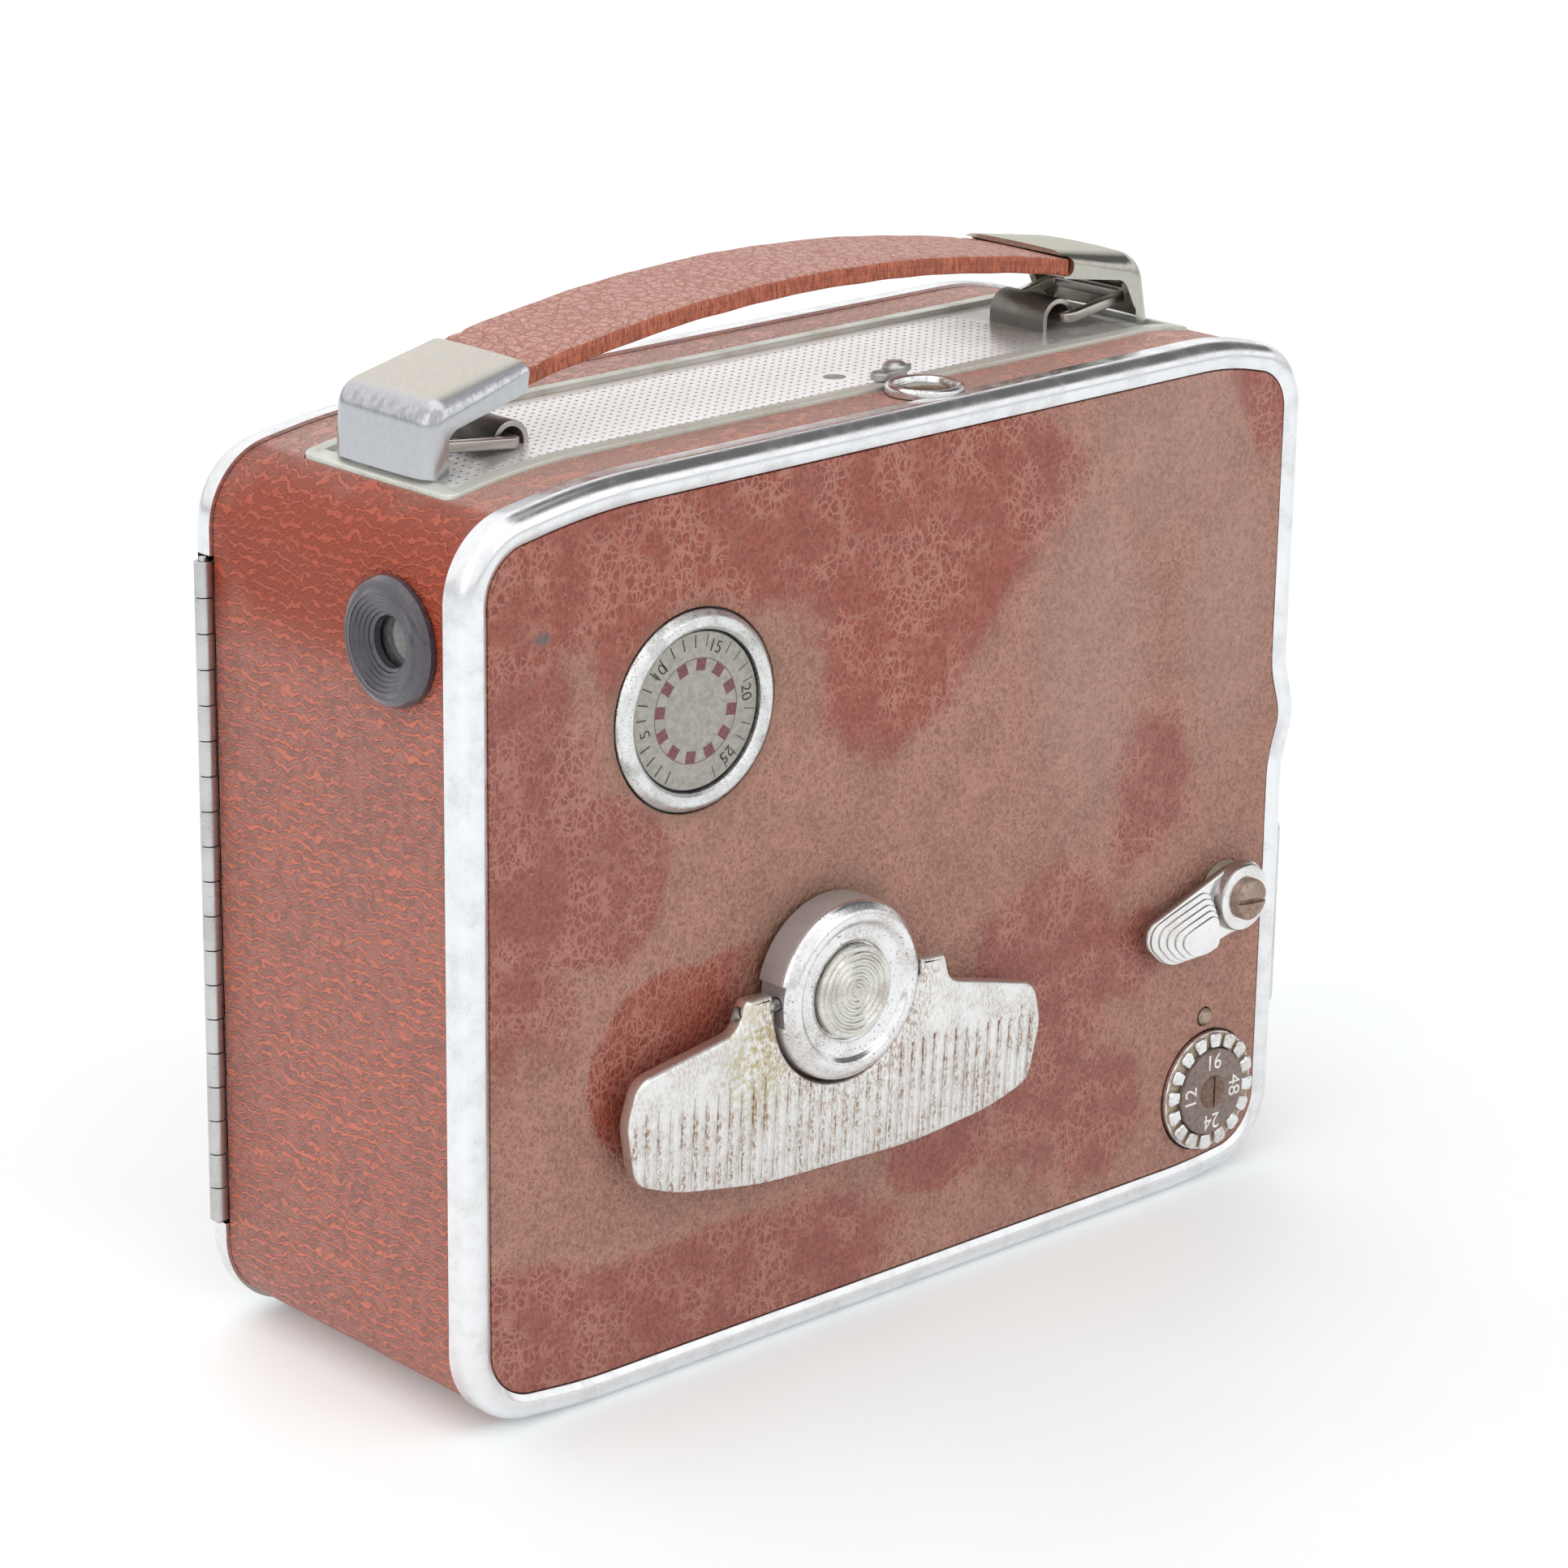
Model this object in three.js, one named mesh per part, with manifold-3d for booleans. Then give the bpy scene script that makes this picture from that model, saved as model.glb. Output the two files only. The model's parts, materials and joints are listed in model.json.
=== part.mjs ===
// Spring-wound double-8 cine camera with a folding winding key, hinged film door and lifting handle.
// Millimetres. +Z is up, +X points the way the lens looks, -Y is the winding side and +Y the film door.
// The origin is on the base plane, under the middle of the body.
import * as THREE from 'three';
import { mergeVertices } from 'three/addons/utils/BufferGeometryUtils.js';
import Module from 'manifold-3d';

const wasm = await Module();
wasm.setup();

// ---------------------------------------------------------------- driving dimensions
const REAR_X = -70.4;
const FRONT_X = 73;
const FACE_Y = 26.3; // leather faces lie at y = -FACE_Y and y = +FACE_Y
const TRIM_PROUD = 0.5;
const TRIM_WIDTH = 3.65;
const TRIM_WALL = 1;
const TRIM_CORNER = 1.8;
const BAND_Y = 22.75; // the trims' side flanges start here, the leather band ends just inside
const LEATHER = 0.55;
const LEATHER_DEPTH = 0.5; // the leather band lies this far inside the trims' outer face
const SHELL_DEPTH = 1.15;
const SHELL_WALL = 1.25;
const GAP = 0.15; // between pieces that touch
const LENS = { y: 7, z: 65.4 };
const BUMP = { z: 65.5, halfWidth: 8.5, rise: 1.75 };
const FINDER = { y: -13.1, z: 98.5 };
const FOOTAGE = { x: -34.8, z: 86.3 };
const KEY = { x: -13.4, z: 47.1, tilt: THREE.MathUtils.degToRad(2.6) };
const KEY_PIN_Y = -30;
const TAKEUP = { x: -6, z: 34 };
const LEVER = { x: 61.1, z: 42.4 };
const SPEED = { x: 59.5, z: 13.7 };
const RIVET = { x: 58.8, z: 24.5 };
const BUSH = { x: 18, y: 0 };
const WINDOW = { x: 9.4, y: -19, seat: 5.2 };
const HINGE = { x: -70.8, y: 23.6, z: 14.2, length: 86.6, knuckles: 19, radius: 1.15, bore: 0.62 };
const HOOK_FRONT = { x: 47.6, z: 119.6, radius: 2.9, wall: 0.8, root: 118 };
const HOOK_REAR = { x: -45.8, z: 117, radius: 2.75, wall: 0.8, root: 116.3 };
const HOOK_HALF = 5;
const RING_FRONT = { x: 47.9, z: 120.1, length: 10.9, tilt: THREE.MathUtils.degToRad(9.4) };
const RING_REAR = { x: -46.1, z: 117.4, length: 13.6, tilt: THREE.MathUtils.degToRad(5.5) };
const RING_HALF = 7.2;
const RING_WIRE = 1.3;
const STRAP = { crestX: 3.5, crestZ: 132.8, radius: 225, thick: 2.45, half: 9.15, rear: -46.7, front: 43.6 };
const CAP_HALF = 9.5;

// ---------------------------------------------------------------- finishes
const finish = (color, roughness, metalness) => new THREE.MeshStandardMaterial({ color, roughness, metalness });
const LEATHER_FINISH = finish(0x8c4a40, 0.75, 0);
const BRIGHT = finish(0xc9cacb, 0.25, 1);
const SATIN = finish(0xb4b1a8, 0.45, 1);
const PALE = finish(0xc5cabb, 0.5, 0.8);
const DARK_STEEL = finish(0x55524c, 0.5, 0.9);
const BLACK = finish(0x1a1a1b, 0.6, 0.1);
const BAKELITE = finish(0x37333a, 0.4, 0);
const BRASS = finish(0xb08d4c, 0.35, 1);
const GLASS = finish(0x9aa6a8, 0.05, 0);
const OLIVE_GLASS = finish(0x84794e, 0.15, 0);
const DIAL_GREY = finish(0x8d8a82, 0.5, 0.3);
const DIAL_BROWN = finish(0x5a3230, 0.5, 0);
const FILM = finish(0x4a4038, 0.3, 0);

// ---------------------------------------------------------------- solids
// One closed, indexed mesh with shared corners, no collapsed triangles and outward faces.
function tidy(geometry) {
  const bare = geometry.clone();
  bare.deleteAttribute('normal');
  bare.deleteAttribute('uv');
  const merged = mergeVertices(bare, 1e-4);
  const spots = merged.attributes.position;
  const index = merged.index.array;
  const kept = [];
  const [a, b, c] = [new THREE.Vector3(), new THREE.Vector3(), new THREE.Vector3()];
  let volume = 0;
  for (let i = 0; i < index.length; i += 3) {
    const [p, q, r] = [index[i], index[i + 1], index[i + 2]];
    if (p === q || q === r || r === p) continue;
    kept.push(p, q, r);
    a.fromBufferAttribute(spots, p);
    b.fromBufferAttribute(spots, q);
    c.fromBufferAttribute(spots, r);
    volume += a.dot(b.cross(c));
  }
  if (volume < 0) kept.reverse();
  merged.setIndex(kept);
  return merged;
}

function solidOf(geometry) {
  const closed = tidy(geometry);
  const mesh = new wasm.Mesh({
    numProp: 3,
    vertProperties: new Float32Array(closed.attributes.position.array),
    triVerts: new Uint32Array(closed.index.array),
  });
  return new wasm.Manifold(mesh);
}

function geometryOf(solid) {
  const mesh = solid.getMesh();
  const geometry = new THREE.BufferGeometry();
  geometry.setAttribute('position', new THREE.BufferAttribute(new Float32Array(mesh.vertProperties), 3));
  geometry.setIndex(new THREE.BufferAttribute(new Uint32Array(mesh.triVerts), 1));
  return geometry;
}

const cut = (geometry, ...tools) => geometryOf(
  tools.reduce((solid, tool) => solid.subtract(solidOf(tool)), solidOf(geometry)));
const join = (geometry, ...more) => geometryOf(
  more.reduce((solid, piece) => solid.add(solidOf(piece)), solidOf(geometry)));
const common = (one, other) => geometryOf(solidOf(one).intersect(solidOf(other)));

// ---------------------------------------------------------------- plane outlines, as lists of [a, b]
const circle = (a, b, radius, steps = 24) => Array.from({ length: steps }, (_, i) => {
  const turn = (i / steps) * 2 * Math.PI;
  return [a + radius * Math.cos(turn), b + radius * Math.sin(turn)];
});

// Points of an arc from one angle to another, in degrees.
const arc = (a, b, radius, from, to, steps) => Array.from({ length: steps + 1 }, (_, i) => {
  const turn = THREE.MathUtils.degToRad(from + ((to - from) * i) / steps);
  return [a + radius * Math.cos(turn), b + radius * Math.sin(turn)];
});

// A polygon whose corners [a, b, radius] are rounded; a corner with no radius stays sharp.
function rounded(corners, steps = 4) {
  return corners.flatMap(([a, b, radius], i) => {
    if (!radius) return [[a, b]];
    const before = corners[(i + corners.length - 1) % corners.length];
    const after = corners[(i + 1) % corners.length];
    const corner = new THREE.Vector2(a, b);
    const toBefore = new THREE.Vector2(before[0] - a, before[1] - b).normalize();
    const toAfter = new THREE.Vector2(after[0] - a, after[1] - b).normalize();
    const half = Math.acos(THREE.MathUtils.clamp(toBefore.dot(toAfter), -1, 1)) / 2;
    const side = toBefore.cross(toAfter) < 0 ? 1 : -1;
    const centre = toBefore.clone().add(toAfter).normalize().multiplyScalar(radius / Math.sin(half)).add(corner);
    const start = toBefore.multiplyScalar(radius / Math.tan(half)).add(corner).sub(centre);
    const sweep = Math.PI - 2 * half;
    return Array.from({ length: steps + 1 }, (_, k) => {
      const spoke = start.clone().rotateAround(new THREE.Vector2(), (side * sweep * k) / steps);
      return [centre.x + spoke.x, centre.y + spoke.y];
    });
  });
}

const roundedBox = (a0, a1, b0, b1, radius, steps = 4) => rounded(
  [[a0, b0, radius], [a1, b0, radius], [a1, b1, radius], [a0, b1, radius]], steps);

// A toothed rim: each tooth is a trapezium between the root and tip radii.
const toothed = (a, b, root, tip, teeth) => Array.from({ length: teeth }, (_, i) => {
  const pitch = (2 * Math.PI) / teeth;
  const steps = [[root, -0.32], [tip, -0.14], [tip, 0.14], [root, 0.32]];
  return steps.map(([radius, part]) => [
    a + radius * Math.cos(pitch * (i + part)), b + radius * Math.sin(pitch * (i + part))]);
}).flat();

// ---------------------------------------------------------------- plates, turned pieces and boxes
function prism(points, depth, holes = []) {
  const shape = new THREE.Shape(points.map(([a, b]) => new THREE.Vector2(a, b)));
  shape.holes = holes.map((hole) => new THREE.Path(hole.map(([a, b]) => new THREE.Vector2(a, b))));
  return new THREE.ExtrudeGeometry(shape, { depth, bevelEnabled: false });
}
// Outline in x and z, standing from y0 to y1.
const plateY = (points, y0, y1, holes) => prism(points, y1 - y0, holes).rotateX(Math.PI / 2).translate(0, y1, 0);
// Outline in x and y, standing from z0 to z1.
const plateZ = (points, z0, z1, holes) => prism(points, z1 - z0, holes).translate(0, 0, z0);
// Outline in y and z, standing from x0 to x1.
const plateX = (points, x0, x1, holes) => prism(points, x1 - x0, holes).applyMatrix4(
  new THREE.Matrix4().makeBasis(new THREE.Vector3(0, 1, 0), new THREE.Vector3(0, 0, 1), new THREE.Vector3(1, 0, 0)),
).translate(x0, 0, 0);
const box = (x0, x1, y0, y1, z0, z1) => new THREE.BoxGeometry(x1 - x0, y1 - y0, z1 - z0)
  .translate((x0 + x1) / 2, (y0 + y1) / 2, (z0 + z1) / 2);

// Profiles are [radius, place along the axis]; one that never meets the axis closes on itself.
function turned(profile, steps) {
  const points = profile.map(([radius, along]) => new THREE.Vector2(radius, along));
  const onAxis = profile[0][0] === 0 && profile[profile.length - 1][0] === 0;
  if (!onAxis) points.push(points[0].clone());
  return new THREE.LatheGeometry(points, steps);
}
const turnedY = (profile, steps = 20) => turned(profile, steps);
const turnedX = (profile, steps = 20) => turned(profile, steps).rotateZ(-Math.PI / 2);
const turnedZ = (profile, steps = 20) => turned(profile, steps).rotateX(Math.PI / 2);
const rod = (radius, from, to) => [[0, from], [radius, from], [radius, to], [0, to]];
const tube = (inner, outer, from, to) => [[inner, from], [outer, from], [outer, to], [inner, to]];

// ---------------------------------------------------------------- the body's side outline
// Corners of the outer face in x and z, anticlockwise seen from the winding side, with their radii.
const BODY_CORNERS = [
  [REAR_X, 1.9, 10.6, 5], [-52, 0, 90, 1], [57, 0, 90, 1], [FRONT_X, 1.8, 10.6, 5],
  [FRONT_X, 115.9, 9.6, 5], [58.4, 119.15, 44, 2], [-50.4, 117.1, 94, 2], [REAR_X, 113.3, 10.6, 5],
];

// Samples { x, z, nx, nz } round the outline; the front edge swells out over the lens.
function bodyOutline() {
  const samples = [];
  BODY_CORNERS.forEach(([x, z, radius, steps], i) => {
    const before = BODY_CORNERS[(i + BODY_CORNERS.length - 1) % BODY_CORNERS.length];
    const after = BODY_CORNERS[(i + 1) % BODY_CORNERS.length];
    const arriving = Math.atan2(z - before[1], x - before[0]);
    const leaving = Math.atan2(after[1] - z, after[0] - x);
    const turn = (leaving - arriving + 2 * Math.PI) % (2 * Math.PI);
    const reach = radius * Math.tan(turn / 2);
    const centreX = x - reach * Math.cos(arriving) - radius * Math.sin(arriving);
    const centreZ = z - reach * Math.sin(arriving) + radius * Math.cos(arriving);
    for (let k = 0; k <= steps; k += 1) {
      const heading = arriving + (turn * k) / steps;
      const [nx, nz] = [Math.sin(heading), -Math.cos(heading)];
      samples.push({ x: centreX + radius * nx, z: centreZ + radius * nz, nx, nz });
    }
    if (x === FRONT_X && z < BUMP.z) samples.push(...bumpSamples());
  });
  return samples;
}

function bumpSamples() {
  const steps = 8;
  return Array.from({ length: steps + 1 }, (_, i) => {
    const t = (2 * i) / steps - 1;
    const rise = (BUMP.rise / 2) * (1 + Math.cos(Math.PI * t));
    const slope = (-(BUMP.rise / 2) * Math.PI * Math.sin(Math.PI * t)) / BUMP.halfWidth;
    const size = Math.hypot(1, slope);
    return { x: FRONT_X + rise, z: BUMP.z + t * BUMP.halfWidth, nx: 1 / size, nz: -slope / size };
  });
}

const OUTLINE = bodyOutline();
const inset = (depth) => OUTLINE.map(({ x, z, nx, nz }) => [x - nx * depth, z - nz * depth]);

// A closed profile of [depth, y] points carried round the body's outline.
function band(profile) {
  const spots = OUTLINE.flatMap(({ x, z, nx, nz }) => profile.flatMap(
    ([depth, y]) => [x - nx * depth, y, z - nz * depth]));
  const index = [];
  OUTLINE.forEach((_, i) => {
    const next = (i + 1) % OUTLINE.length;
    profile.forEach((__, j) => {
      const after = (j + 1) % profile.length;
      const [a, b] = [i * profile.length + j, i * profile.length + after];
      const [c, d] = [next * profile.length + j, next * profile.length + after];
      index.push(a, b, c, b, d, c);
    });
  });
  const geometry = new THREE.BufferGeometry();
  geometry.setAttribute('position', new THREE.Float32BufferAttribute(spots, 3));
  geometry.setIndex(index);
  return geometry;
}
const flatBand = (depth0, depth1, y0, y1) => band([[depth0, y0], [depth1, y0], [depth1, y1], [depth0, y1]]);

// Height of the outer face's top at one x, between the two upper corner arcs.
function topAt(x) {
  const tops = OUTLINE.filter(({ z, nz }) => z > 100 && nz > 0.3).sort((one, other) => one.x - other.x);
  const i = Math.max(1, tops.findIndex((sample) => sample.x >= x));
  const part = (x - tops[i - 1].x) / (tops[i].x - tops[i - 1].x);
  return THREE.MathUtils.lerp(tops[i - 1].z, tops[i].z, part);
}

// ---------------------------------------------------------------- the scene
const group = new THREE.Group();
function piece(name, geometry, material, parent = group) {
  const mesh = new THREE.Mesh(tidy(geometry), material);
  mesh.name = name;
  parent.add(mesh);
  return mesh;
}

// The bright edging: a side flange and a face flange with a round corner between them.
function trimProfile(side) {
  const front = FACE_Y + TRIM_PROUD;
  const corner = arc(TRIM_CORNER, front - TRIM_CORNER, TRIM_CORNER, 180, 90, 3);
  const back = FACE_Y - LEATHER;
  return [[0, BAND_Y], ...corner, [TRIM_WIDTH - 0.45, front], [TRIM_WIDTH, front - 0.3],
    [TRIM_WIDTH, back], [TRIM_WALL, back], [TRIM_WALL, BAND_Y]].map(([depth, y]) => [depth, side * y]);
}

const HINGE_TOP = HINGE.z + HINGE.length;
const PLATE_OUTER = [-62.6, 63.4, -14.5, 14.5];
const PLATE_INNER = [-60.4, 61.2, -12.4, 12.4];
const BASE_PLATE = [-17, 29, -14, 14];

function buildBody() {
  const lensHole = turnedX(rod(10.2, 60, 90)).translate(0, LENS.y, LENS.z);
  const finderHoles = turnedX(rod(6.2, -90, 90), 16).translate(0, FINDER.y, FINDER.z);
  const windowHole = turnedZ(rod(3.6, 100, 125), 16).translate(WINDOW.x, WINDOW.y, 0);
  const bushHole = turnedZ(rod(4.6, -5, 6), 20).translate(BUSH.x, BUSH.y, 0);
  const shell = flatBand(SHELL_DEPTH, SHELL_DEPTH + SHELL_WALL, -24.45, 22.3);
  piece('body_shell', cut(shell, lensHole, finderHoles, windowHole, bushHole), DARK_STEEL);

  const wrap = flatBand(LEATHER_DEPTH, LEATHER_DEPTH + LEATHER, -22.55, 22.45);
  const [x0, x1, y0, y1] = PLATE_OUTER;
  const [b0, b1, c0, c1] = BASE_PLATE;
  piece('leather_wrap', cut(
    wrap, windowHole, finderHoles,
    turnedX(rod(12.7, 60, 90), 20).translate(0, LENS.y, LENS.z),
    plateZ(roundedBox(x0 - GAP, x1 + GAP, y0 - GAP, y1 + GAP, 1.7), 100, 130),
    box(b0 - GAP, b1 + GAP, c0 - GAP, c1 + GAP, -5, 6),
    box(-75, -66, 19.6, 30, HINGE.z - 0.3, HINGE_TOP + 0.3),
  ), LEATHER_FINISH);

  const panelHoles = [[FOOTAGE, 3], [KEY, 4], [LEVER, 2.2], [SPEED, 2.4]];
  const panel = plateY(inset(SHELL_DEPTH), -FACE_Y + LEATHER + 0.1, -24.6,
    panelHoles.map(([spot, radius]) => circle(spot.x, spot.z, radius, 10)));
  // The index rivet of the speed dial is set into the panel and stands through the leather.
  const rivet = turnedY([[0, -27], [0.7, -26.9], [1.2, -26.4], [1.2, -25], [0, -25]], 8);
  piece('key_side_panel', join(panel, rivet.translate(RIVET.x, 0, RIVET.z)), DARK_STEEL);
  const coveringHoles = [[FOOTAGE, 12.85, 24], [KEY, 4, 12], [LEVER, 2.2, 10], [SPEED, 9.1, 20], [RIVET, 1.4, 8]];
  piece('key_side_covering', plateY(
    inset(TRIM_WIDTH + GAP), -FACE_Y, -FACE_Y + LEATHER,
    coveringHoles.map(([spot, radius, steps]) => circle(spot.x, spot.z, radius, steps)),
  ), LEATHER_FINISH);
  const windowSeat = turnedZ(rod(WINDOW.seat, 100, 125), 20).translate(WINDOW.x, WINDOW.y, 0);
  piece('key_side_trim', cut(band(trimProfile(-1)), windowSeat), BRIGHT);

  piece('front_plate', plateX(roundedBox(-25.4, 21.6, 22, 50, 2), FRONT_X + GAP, FRONT_X + 0.75), SATIN);
  piece('base_plate', plateZ(roundedBox(b0, b1, c0, c1, 4), 0, 1, [circle(BUSH.x, BUSH.y, 4.5, 20)]), SATIN);
  piece('tripod_bush', turnedZ([[2.9, 0.05], [4.2, 0.05], [4.2, 2.6], [7, 2.6], [7, 4.2], [4.2, 4.2], [4.2, 9],
    [1.2, 9], [1.2, 8], [2.9, 8]], 14), BRASS).position.set(BUSH.x, BUSH.y, 0);
}

function buildDoor() {
  // The pan has a light-trap rim that stands inside the body shell.
  const [rimOuter, rimInner] = [SHELL_DEPTH + SHELL_WALL + 0.4, SHELL_DEPTH + SHELL_WALL + 1.3];
  const latchX = 60;
  const latchZ = 60;
  const pan = plateY(inset(SHELL_DEPTH), 24.6, 25.65, [circle(latchX, latchZ, 2.4, 12)]);
  piece('door_panel', join(pan, flatBand(rimOuter, rimInner, 19, 25)), DARK_STEEL);
  piece('door_covering', plateY(
    inset(TRIM_WIDTH + GAP), FACE_Y - LEATHER, FACE_Y, [circle(latchX, latchZ, 2.4, 12)]), LEATHER_FINISH);
  const hingeRoom = box(-75, -69, 20, 25.55, HINGE.z - 0.6, HINGE_TOP + 0.6);
  piece('door_trim', cut(band(trimProfile(1)), hingeRoom), BRIGHT);
  const knob = turnedY([[0, 21.4], [5, 21.4], [5, 22.6], [1.9, 22.6], [1.9, 26.5], [6.5, 26.5], [6.5, 27.6],
    [5.9, 28.2], [0, 28.2]], 18);
  const grip = box(-5.4, 5.4, 28, 30.4, -1.1, 1.1);
  piece('door_latch', join(knob, grip), BRIGHT).position.set(latchX, 0, latchZ);
}

function buildHinge() {
  const pitch = HINGE.length / HINGE.knuckles;
  const bore = turnedZ(rod(HINGE.bore, -5, 130), 6).translate(HINGE.x, HINGE.y, 0);
  const knuckle = (i) => turnedZ(rod(HINGE.radius, 0.06, pitch - 0.06), 8)
    .translate(HINGE.x, HINGE.y, HINGE.z + i * pitch);
  const web = (i, y0, y1) => {
    const z = HINGE.z + i * pitch;
    return box(-70.3, -69.4, y0, y1, z + 0.06, z + pitch - 0.06);
  };
  const leaf = (first, plate, y0, y1) => {
    const solids = [];
    for (let i = first; i < HINGE.knuckles; i += 2) solids.push(knuckle(i), web(i, y0, y1));
    return cut(join(plate, ...solids), bore);
  };
  const bodyPlate = box(-69.9, -69.4, 19.8, 22.4, HINGE.z, HINGE_TOP);
  piece('hinge_body_leaf', leaf(0, bodyPlate, 21.6, HINGE.y), BRIGHT);
  const doorPlate = box(-69.9, -69.4, 24.5, 25.4, HINGE.z, HINGE_TOP);
  piece('hinge_door_leaf', leaf(1, doorPlate, HINGE.y, 25.2), BRIGHT);
  piece('hinge_pin', turnedZ(rod(0.5, HINGE.z - 0.5, HINGE_TOP + 0.5), 6), DARK_STEEL)
    .position.set(HINGE.x, HINGE.y, 0);
}

function buildTop() {
  const [x0, x1, y0, y1] = PLATE_OUTER;
  const [i0, i1, j0, j1] = PLATE_INNER;
  const outer = plateZ(roundedBox(x0, x1, y0, y1, 1.6), 100, 130);
  const inner = plateZ(roundedBox(i0, i1, j0, j1, 1), 90, 140);
  const seat = SHELL_DEPTH - 0.1;
  const windowSeat = turnedZ(rod(WINDOW.seat, 100, 125), 20).translate(WINDOW.x, WINDOW.y, 0);
  piece('top_frame', cut(common(flatBand(-0.1, seat, y0, y1), outer), inner, windowSeat), PALE);
  const inside = plateZ(roundedBox(i0 + GAP, i1 - GAP, j0 + GAP, j1 - GAP, 0.9), 100, 130);
  const slot = (hook, side) => {
    const edge = hook.x - side * (hook.radius - hook.wall / 2);
    return box(edge - 0.7, edge + 0.7, -HOOK_HALF - 0.3, HOOK_HALF + 0.3, 100, 130);
  };
  const sightHole = turnedZ(rod(1.5, 100, 130), 16).translate(7, -4.8, 0);
  piece('top_plate', cut(
    common(flatBand(0.65, seat, j0, j1), inside), slot(HOOK_FRONT, 1), slot(HOOK_REAR, -1), sightHole), PALE);

  hookPiece('hook_front', HOOK_FRONT, 1);
  hookPiece('hook_rear', HOOK_REAR, -1);

  const seatZ = topAt(WINDOW.x) - LEATHER_DEPTH + 0.1;
  piece('top_window_ring', turnedZ([[4, 0], [5.07, 0], [5.07, 0.7], [4.8, 1.1], [4.4, 1.2], [4, 0.9]], 20), BRIGHT)
    .position.set(WINDOW.x, WINDOW.y, seatZ);
  piece('top_window_glass', turnedZ([[0, 0], [3.85, 0], [3.85, 0.25], [2.4, 0.55], [0, 0.65]], 16), OLIVE_GLASS)
    .position.set(WINDOW.x, WINDOW.y, seatZ);
  const lobes = join(
    turnedZ(rod(1.2, 0, 1.1), 10),
    turnedZ([[0, 0], [1.6, 0], [1.6, 1.2], [1, 1.7], [0, 1.8]], 10).translate(3.7, 1.2, 0),
    plateZ([[0, -0.9], [3.5, -0.4], [6.9, 1.4], [6.9, 1.9], [3.5, 2.6], [0, 0.9]], 0, 0.9),
  );
  piece('top_catch', lobes, SATIN).position.set(7.9, -12.4, topAt(8) + 0.25);
}

// A strip that rises from the plate and curls over outwards, away from the middle of the camera.
function hookPiece(name, hook, side) {
  const inner = hook.radius - hook.wall;
  const curl = [...arc(0, 0, hook.radius, 180, 2, 8), ...arc(0, 0, inner, 2, 180, 6)];
  const drop = hook.root - hook.z;
  const outline = [...curl, [-inner, drop], [-hook.radius, drop]];
  const strip = plateY(outline.map(([a, b]) => [side * a, b]), -HOOK_HALF, HOOK_HALF);
  piece(name, strip, DARK_STEEL).position.set(hook.x, 0, hook.z);
}

function buildHandle() {
  const strapTop = (x) => STRAP.crestZ - (x - STRAP.crestX) ** 2 / (2 * STRAP.radius);
  const strapBand = (x0, x1, over, under, steps) => {
    const xs = Array.from({ length: steps + 1 }, (_, i) => x0 + ((x1 - x0) * i) / steps);
    const tops = xs.map((x) => [x, strapTop(x) + over]);
    const bottoms = xs.map((x) => [x, strapTop(x) - STRAP.thick - under]).reverse();
    return [...tops, ...bottoms];
  };
  const across = (outline, half) => plateY(outline, -half, half);
  const tongue = (x0, x1) => across(strapBand(x0, x1, -0.1, -0.1, 4), 8.6);
  const sleeve = (x0, x1) => across(strapBand(x0, x1, 0.05, 0.05, 4), 8.75);
  piece('handle_strap', join(
    across(strapBand(STRAP.rear, STRAP.front, 0, 0, 14), STRAP.half), tongue(-53.4, -46), tongue(43, 50.4),
  ), LEATHER_FINISH);

  const frontCap = rounded([[43.8, 126.3], [55.4, 124.7, 2.5], [57.5, 120.6, 2], [60.7, 118.9], [61.5, 118.9],
    [59.7, 127.9, 5], [43.8, 129.95]]);
  const frontHollow = rounded([[50.8, 123], [56.6, 123], [56.6, 117], [60.5, 117], [58.8, 127.1, 4.2], [50.8, 128.1]]);
  piece('handle_cap_front', cut(
    across(frontCap, CAP_HALF), sleeve(43, 50.9), across(frontHollow, 8.4)), SATIN);
  const rearCap = rounded([[-46.9, 124.1], [-58.3, 121, 2.5], [-59.7, 117.8, 2], [-61.6, 115.6], [-62.4, 115.6],
    [-61.9, 124.6, 4], [-46.9, 127.9]]);
  const rearHollow = rounded([[-53.8, 121], [-58, 121], [-58, 114], [-61.5, 114], [-61, 123.8, 3.2],
    [-53.8, 125.6]]);
  piece('handle_cap_rear', cut(
    across(rearCap, CAP_HALF), sleeve(-53.9, -46), across(rearHollow, 8.4)), SATIN);

  const link = (ring, side) => {
    const half = RING_WIRE / 2;
    const outline = roundedBox(-half, ring.length + half, -RING_HALF, RING_HALF, 1.6);
    const inside = roundedBox(half, ring.length - half, -RING_HALF + RING_WIRE, RING_HALF - RING_WIRE, 0.4, 2);
    const flat = plateZ(outline, -0.7, 0.7, [inside]);
    return side > 0 ? flat : flat.rotateZ(Math.PI);
  };
  const front = piece('ring_front', link(RING_FRONT, 1), SATIN);
  front.position.set(RING_FRONT.x, 0, RING_FRONT.z);
  front.rotation.y = -RING_FRONT.tilt;
  const rear = piece('ring_rear', link(RING_REAR, -1), SATIN);
  rear.position.set(RING_REAR.x, 0, RING_REAR.z);
  rear.rotation.y = RING_REAR.tilt;
}

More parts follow.
